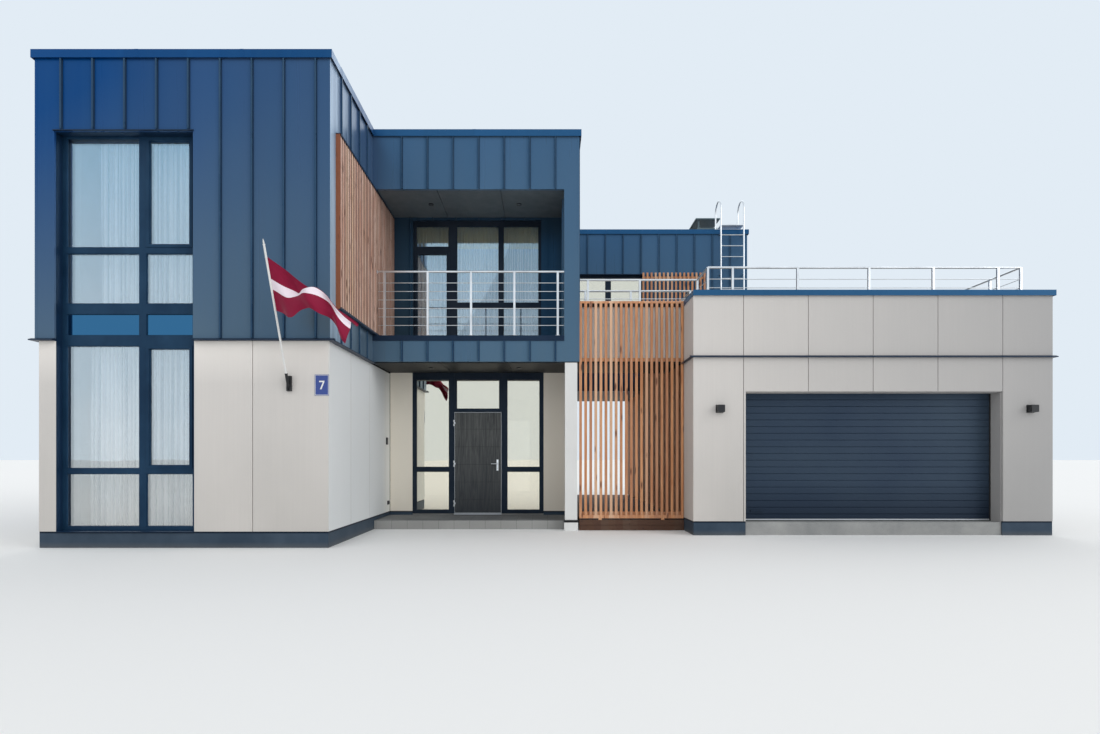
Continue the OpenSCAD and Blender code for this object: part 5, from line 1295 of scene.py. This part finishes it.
def pleated(name, box, gap, pitch, seed, finish):
    """A gathered curtain in its solid's box, drawn back from the left by a gap. Every
    fold has its own width and depth: the phase runs through 2 pi in each fold, along
    widths drawn at random, and the depth is a fold's share times sin(phase + lean). It
    shrinks and leans towards the hem."""
    low, high = box
    low = low + [gap, 0, 0]
    folds = round(float(high[0] - low[0]) / pitch)
    draw = np.random.default_rng(seed)
    ends = np.concatenate([[0], np.cumsum(draw.uniform(0.45, 1.6, folds))])
    turns = np.arange(folds + 1)
    u = np.linspace(0, 1, folds * COLUMNS_A_FOLD + 1)[None, :]
    v = np.linspace(0, 1, CURTAIN_ROWS)[:, None]
    turn = np.interp(u, ends / ends[-1], turns)
    share = np.interp(turn, turns, draw.uniform(0.5, 1.0, folds + 1))
    lean = np.interp(turn, turns, draw.uniform(-0.8, 0.8, folds + 1))
    wave = share * np.sin(2 * np.pi * turn + lean * (1 - v))
    amplitude = (high[1] - low[1]) / 2 * (0.97 - 0.22 * v)
    x = low[0] + (high[0] - low[0]) * u
    y = (low[1] + high[1]) / 2 + amplitude * wave
    z = low[2] + (high[2] - low[2]) * v
    points = on_grid(x, y, z)
    # the UV map's second coordinate says how far a fold lies back, for the finish's painted
    # shade
    piece = make_cloth(name, points, u, (wave + 1) / 2, finish)
    float(high[2] - low[2])
    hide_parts("curtains")


def curtains():
    """The sheer curtains of the tall window, storey by storey, and of the balcony's, which has a
    band of painted reflection across its top."""
    boxes = sorted(solids_of("curtains"), key=lambda box: (box[0][1], box[0][2]))
    # a warm beige painted reflection across the top of the balcony's curtains
    painted_reflection_band = (boxes[-1][1][2] - REFLECTION_BAND_H, (255, 238, 170))
    white = (246, 249, 252)
    # the second colour of each sheer is the painted shade of its folds
    sheer = cloth_sheer("sheer_white", white, (64, 90, 122))
    banded = cloth_sheer("sheer_with_painted_reflection", white, (140, 166, 194), 0.15, painted_reflection_band)
    kinds = [
        ("lower_curtain", 0.04, FOLD_PITCH, sheer),
        ("upper_curtain", 0.20, FOLD_PITCH, sheer),
        ("balcony_curtain", 0.0, FINE_FOLD_PITCH, banded),
    ]
    for seed, (box, (name, gap, pitch, finish)) in enumerate(zip(boxes, kinds), FIRST_SEED):
        pleated(name, box, gap, pitch, seed, finish)


curtains()

POLE_LEAN = math.radians(24)
POLE_R = 0.015
POLE_AXIS = np.array([0, -math.sin(POLE_LEAN), math.cos(POLE_LEAN)])
POLE_BACK = np.array([0, math.cos(POLE_LEAN), math.sin(POLE_LEAN)])

FLAG_HOIST = 0.75
FLAG_FLY = 1.50
FLAG_DOWN = 0.16
FLAG_ROWS = 71
FLAG_COLUMNS = 151
WAVE_L = 0.58
WAVE_LAG = 0.6
FOLD_TURN = math.radians(158)
FOLD_W = 0.17


def pole_point(down):
    """A place on the pole's axis, a distance below its tip."""
    low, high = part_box("flag_pole")
    tip = np.array([low.x + POLE_R, low.y + POLE_R * math.cos(POLE_LEAN),
                    high.z - POLE_R * math.sin(POLE_LEAN)])
    return tip - down * POLE_AXIS


def eased(value, low, high):
    """0 below low, 1 above high, and 3 w^2 - 2 w^3 of the share w between."""
    share = np.clip((value - low) / (high - low), 0, 1)
    return share ** 2 * (3 - 2 * share)


def run_up(steps, axis):
    """The running sum of steps along an axis, from 0, by the trapezium rule."""
    steps = np.moveaxis(steps, axis, 0)
    sums = np.cumsum((steps[1:] + steps[:-1]) / 2, axis=0)
    return np.moveaxis(np.concatenate([np.zeros((1, *steps.shape[1:])), sums]), 0, axis)


def flag():
    """The flag, blown along the wall with a fold across it. A thread leaves the pole at
    a share t of the hoist, and at a distance s along it has a slope in the flag's plane
    and swings out of that plane by swing sin(2 pi (s / wave - lag t)). Down the hoist
    the cloth turns by turn exp(-((t - centre) / width)^2): past a right angle it doubles
    back on itself, and the doubled strip rises from the middle stripe to the top edge
    as the fold grows."""
    t = np.linspace(0, 1, FLAG_ROWS)[:, None]
    s = np.linspace(0, FLAG_FLY, FLAG_COLUMNS)[None, :]
    along = s / FLAG_FLY
    slope = np.radians(-39 + (26 - 40 * along) * t ** 1.2)
    swing = (0.2 + 0.65 * t ** 0.8) * np.clip(along * 6, 0, 1)
    out = swing * np.sin(2 * np.pi * (s / WAVE_L - WAVE_LAG * t) + 0.4)
    turn = FOLD_TURN * eased(along, 0.0, 0.60) * (1 - 0.2 * eased(along, 0.7, 1.0))
    centre = 0.46 - 0.24 * eased(along, 0.26, 0.62)
    fold = turn * np.exp(-((t - centre) / FOLD_W) ** 2)
    step = FLAG_FLY / (FLAG_COLUMNS - 1)
    drop = FLAG_HOIST / (FLAG_ROWS - 1)
    sag = 0.04 * along ** 1.2 * (np.sin(4 * np.pi * t + 1) - math.sin(1))
    x = run_up(np.cos(out) * np.cos(slope) * step, 1)
    y = run_up(np.sin(out) * step, 1) - run_up(np.sin(fold) * drop, 0) + sag
    z = run_up(np.cos(out) * np.sin(slope) * step, 1) - run_up(np.cos(fold) * drop, 0)
    start = pole_point(FLAG_DOWN) + [POLE_R + NEAR, 0, 0]
    points = start + on_grid(x, y, z) @ np.array([RIGHTWARDS, POLE_BACK, POLE_AXIS])
    weave = striped_cloth("flag_weave", (130, 2, 48), (232, 220, 228))
    piece = make_cloth("flag_cloth", points, along, 1 - t, weave)
    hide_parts("flag")


flag()

RING_R = 0.0175
WIRE_R = 0.0025
FINIAL = [(0.0155, -0.004), (0.0180, 0.0), (0.0180, 0.008), (0.0090, 0.012), (0.0115, 0.030),
          (0.0080, 0.055), (0.0030, 0.075), (0.0008, 0.082)]


def pole_details():
    """A slim turned finial, and three rings that hold the flag's hoist to the pole."""
    forms = [turned_studs(pole_point(0), POLE_AXIS, FINIAL, sides=18)]
    loop = RING_R * circle(RIGHTWARDS, np.cross(POLE_AXIS, RIGHTWARDS), 24)
    closed_loop = np.concatenate([loop, loop[:1]])
    for down in (0.01, FLAG_HOIST / 2, FLAG_HOIST - 0.01):
        forms.append(tube(closed_loop + pole_point(FLAG_DOWN + down), WIRE_R, sides=8))
    make_piece("pole_fittings", joined(forms), white_paint)


pole_details()


# Stage, light and camera

FLOOR_REACH = 400.0
FLOOR_COLOUR = (0.84, 0.84, 0.83, 1)
SKY_LIGHT = (0.94, 0.97, 1.0, 1)
SKY_STRENGTH = 0.84
SKY_SHOWN = srgb(226, 236, 245)

# Each sun shines towards a direction, with a strength and a width in degrees.
SUNS = {
    "key_sun": ((-0.80, 0.52, -0.32), 1.15, 50),
    "fill_sun": ((0.55, 0.80, -0.50), 0.25, 60),
    "back_sun": ((-0.3, -0.9, -0.8), 0.5, 60),
}
CAMERA_PLACE = (3.29, -15.04, 1.37)
CAMERA_SHIFT = (0.0027, 0.0827)
SENSOR_W = 36.0
LENS = 20.95
VIEW_REACH = 1000.0


def stage_floor():
    """A plain pale floor out to the horizon."""
    mesh = bpy.data.meshes.new("stage_floor")
    square = np.array([(-1, -1, 0), (1, -1, 0), (1, 1, 0), (-1, 1, 0)])
    mesh.from_pydata((square * FLOOR_REACH).tolist(), [], [[0, 1, 2, 3]])
    finish = Finish("stage_floor", Base_Color=FLOOR_COLOUR, Roughness=0.9)
    mesh.materials.append(finish.material)
    floor = bpy.data.objects.new("stage_floor", mesh)
    bpy.context.scene.collection.objects.link(floor)


def sky():
    """A plain world: one strength for the light that it gives, and a pale colour for
    what the camera, mirrors and glass see of it."""
    world = bpy.data.worlds.new("studio")
    world.use_nodes = True
    bpy.context.scene.world = world
    nodes, links = world.node_tree.nodes, world.node_tree.links
    nodes.clear()
    mixed = nodes.new("ShaderNodeMixShader")
    for place, colour, strength in ((1, SKY_LIGHT, SKY_STRENGTH), (2, SKY_SHOWN, 1.0)):
        light = nodes.new("ShaderNodeBackground")
        light.inputs["Color"].default_value = colour
        light.inputs["Strength"].default_value = strength
        links.new(light.outputs["Background"], mixed.inputs[place])
    path = nodes.new("ShaderNodeLightPath")
    share = path.outputs["Is Camera Ray"]
    for ray in ("Is Glossy Ray", "Is Transmission Ray"):
        either = nodes.new("ShaderNodeMath")
        either.operation = "MAXIMUM"
        links.new(share, either.inputs[0])
        links.new(path.outputs[ray], either.inputs[1])
        share = either.outputs["Value"]
    links.new(share, mixed.inputs["Fac"])
    output = nodes.new("ShaderNodeOutputWorld")
    links.new(mixed.outputs["Shader"], output.inputs["Surface"])


def soft_suns():
    """Wide, soft suns, each turned so that it shines towards its direction."""
    for name, (toward, strength, width) in SUNS.items():
        lamp = bpy.data.lights.new(name, "SUN")
        lamp.energy = strength
        lamp.angle = math.radians(width)
        holder = bpy.data.objects.new(name, lamp)
        holder.rotation_euler = Vector(toward).to_track_quat("-Z", "Y").to_euler()
        bpy.context.scene.collection.objects.link(holder)


def photo_camera():
    """The photograph's camera: level at eye height, square to the fronts, with its
    vanishing point below the middle of the picture."""
    camera = bpy.data.objects.new("camera", bpy.data.cameras.new("camera"))
    camera.data.sensor_width = SENSOR_W
    camera.data.lens = LENS
    camera.data.shift_x, camera.data.shift_y = CAMERA_SHIFT
    camera.data.clip_end = VIEW_REACH
    camera.location = CAMERA_PLACE
    camera.rotation_euler = (math.radians(90), 0, 0)
    bpy.context.scene.collection.objects.link(camera)
    bpy.context.scene.camera = camera


stage_floor()
sky()
soft_suns()
photo_camera()
bpy.context.scene.view_settings.view_transform = "Standard"
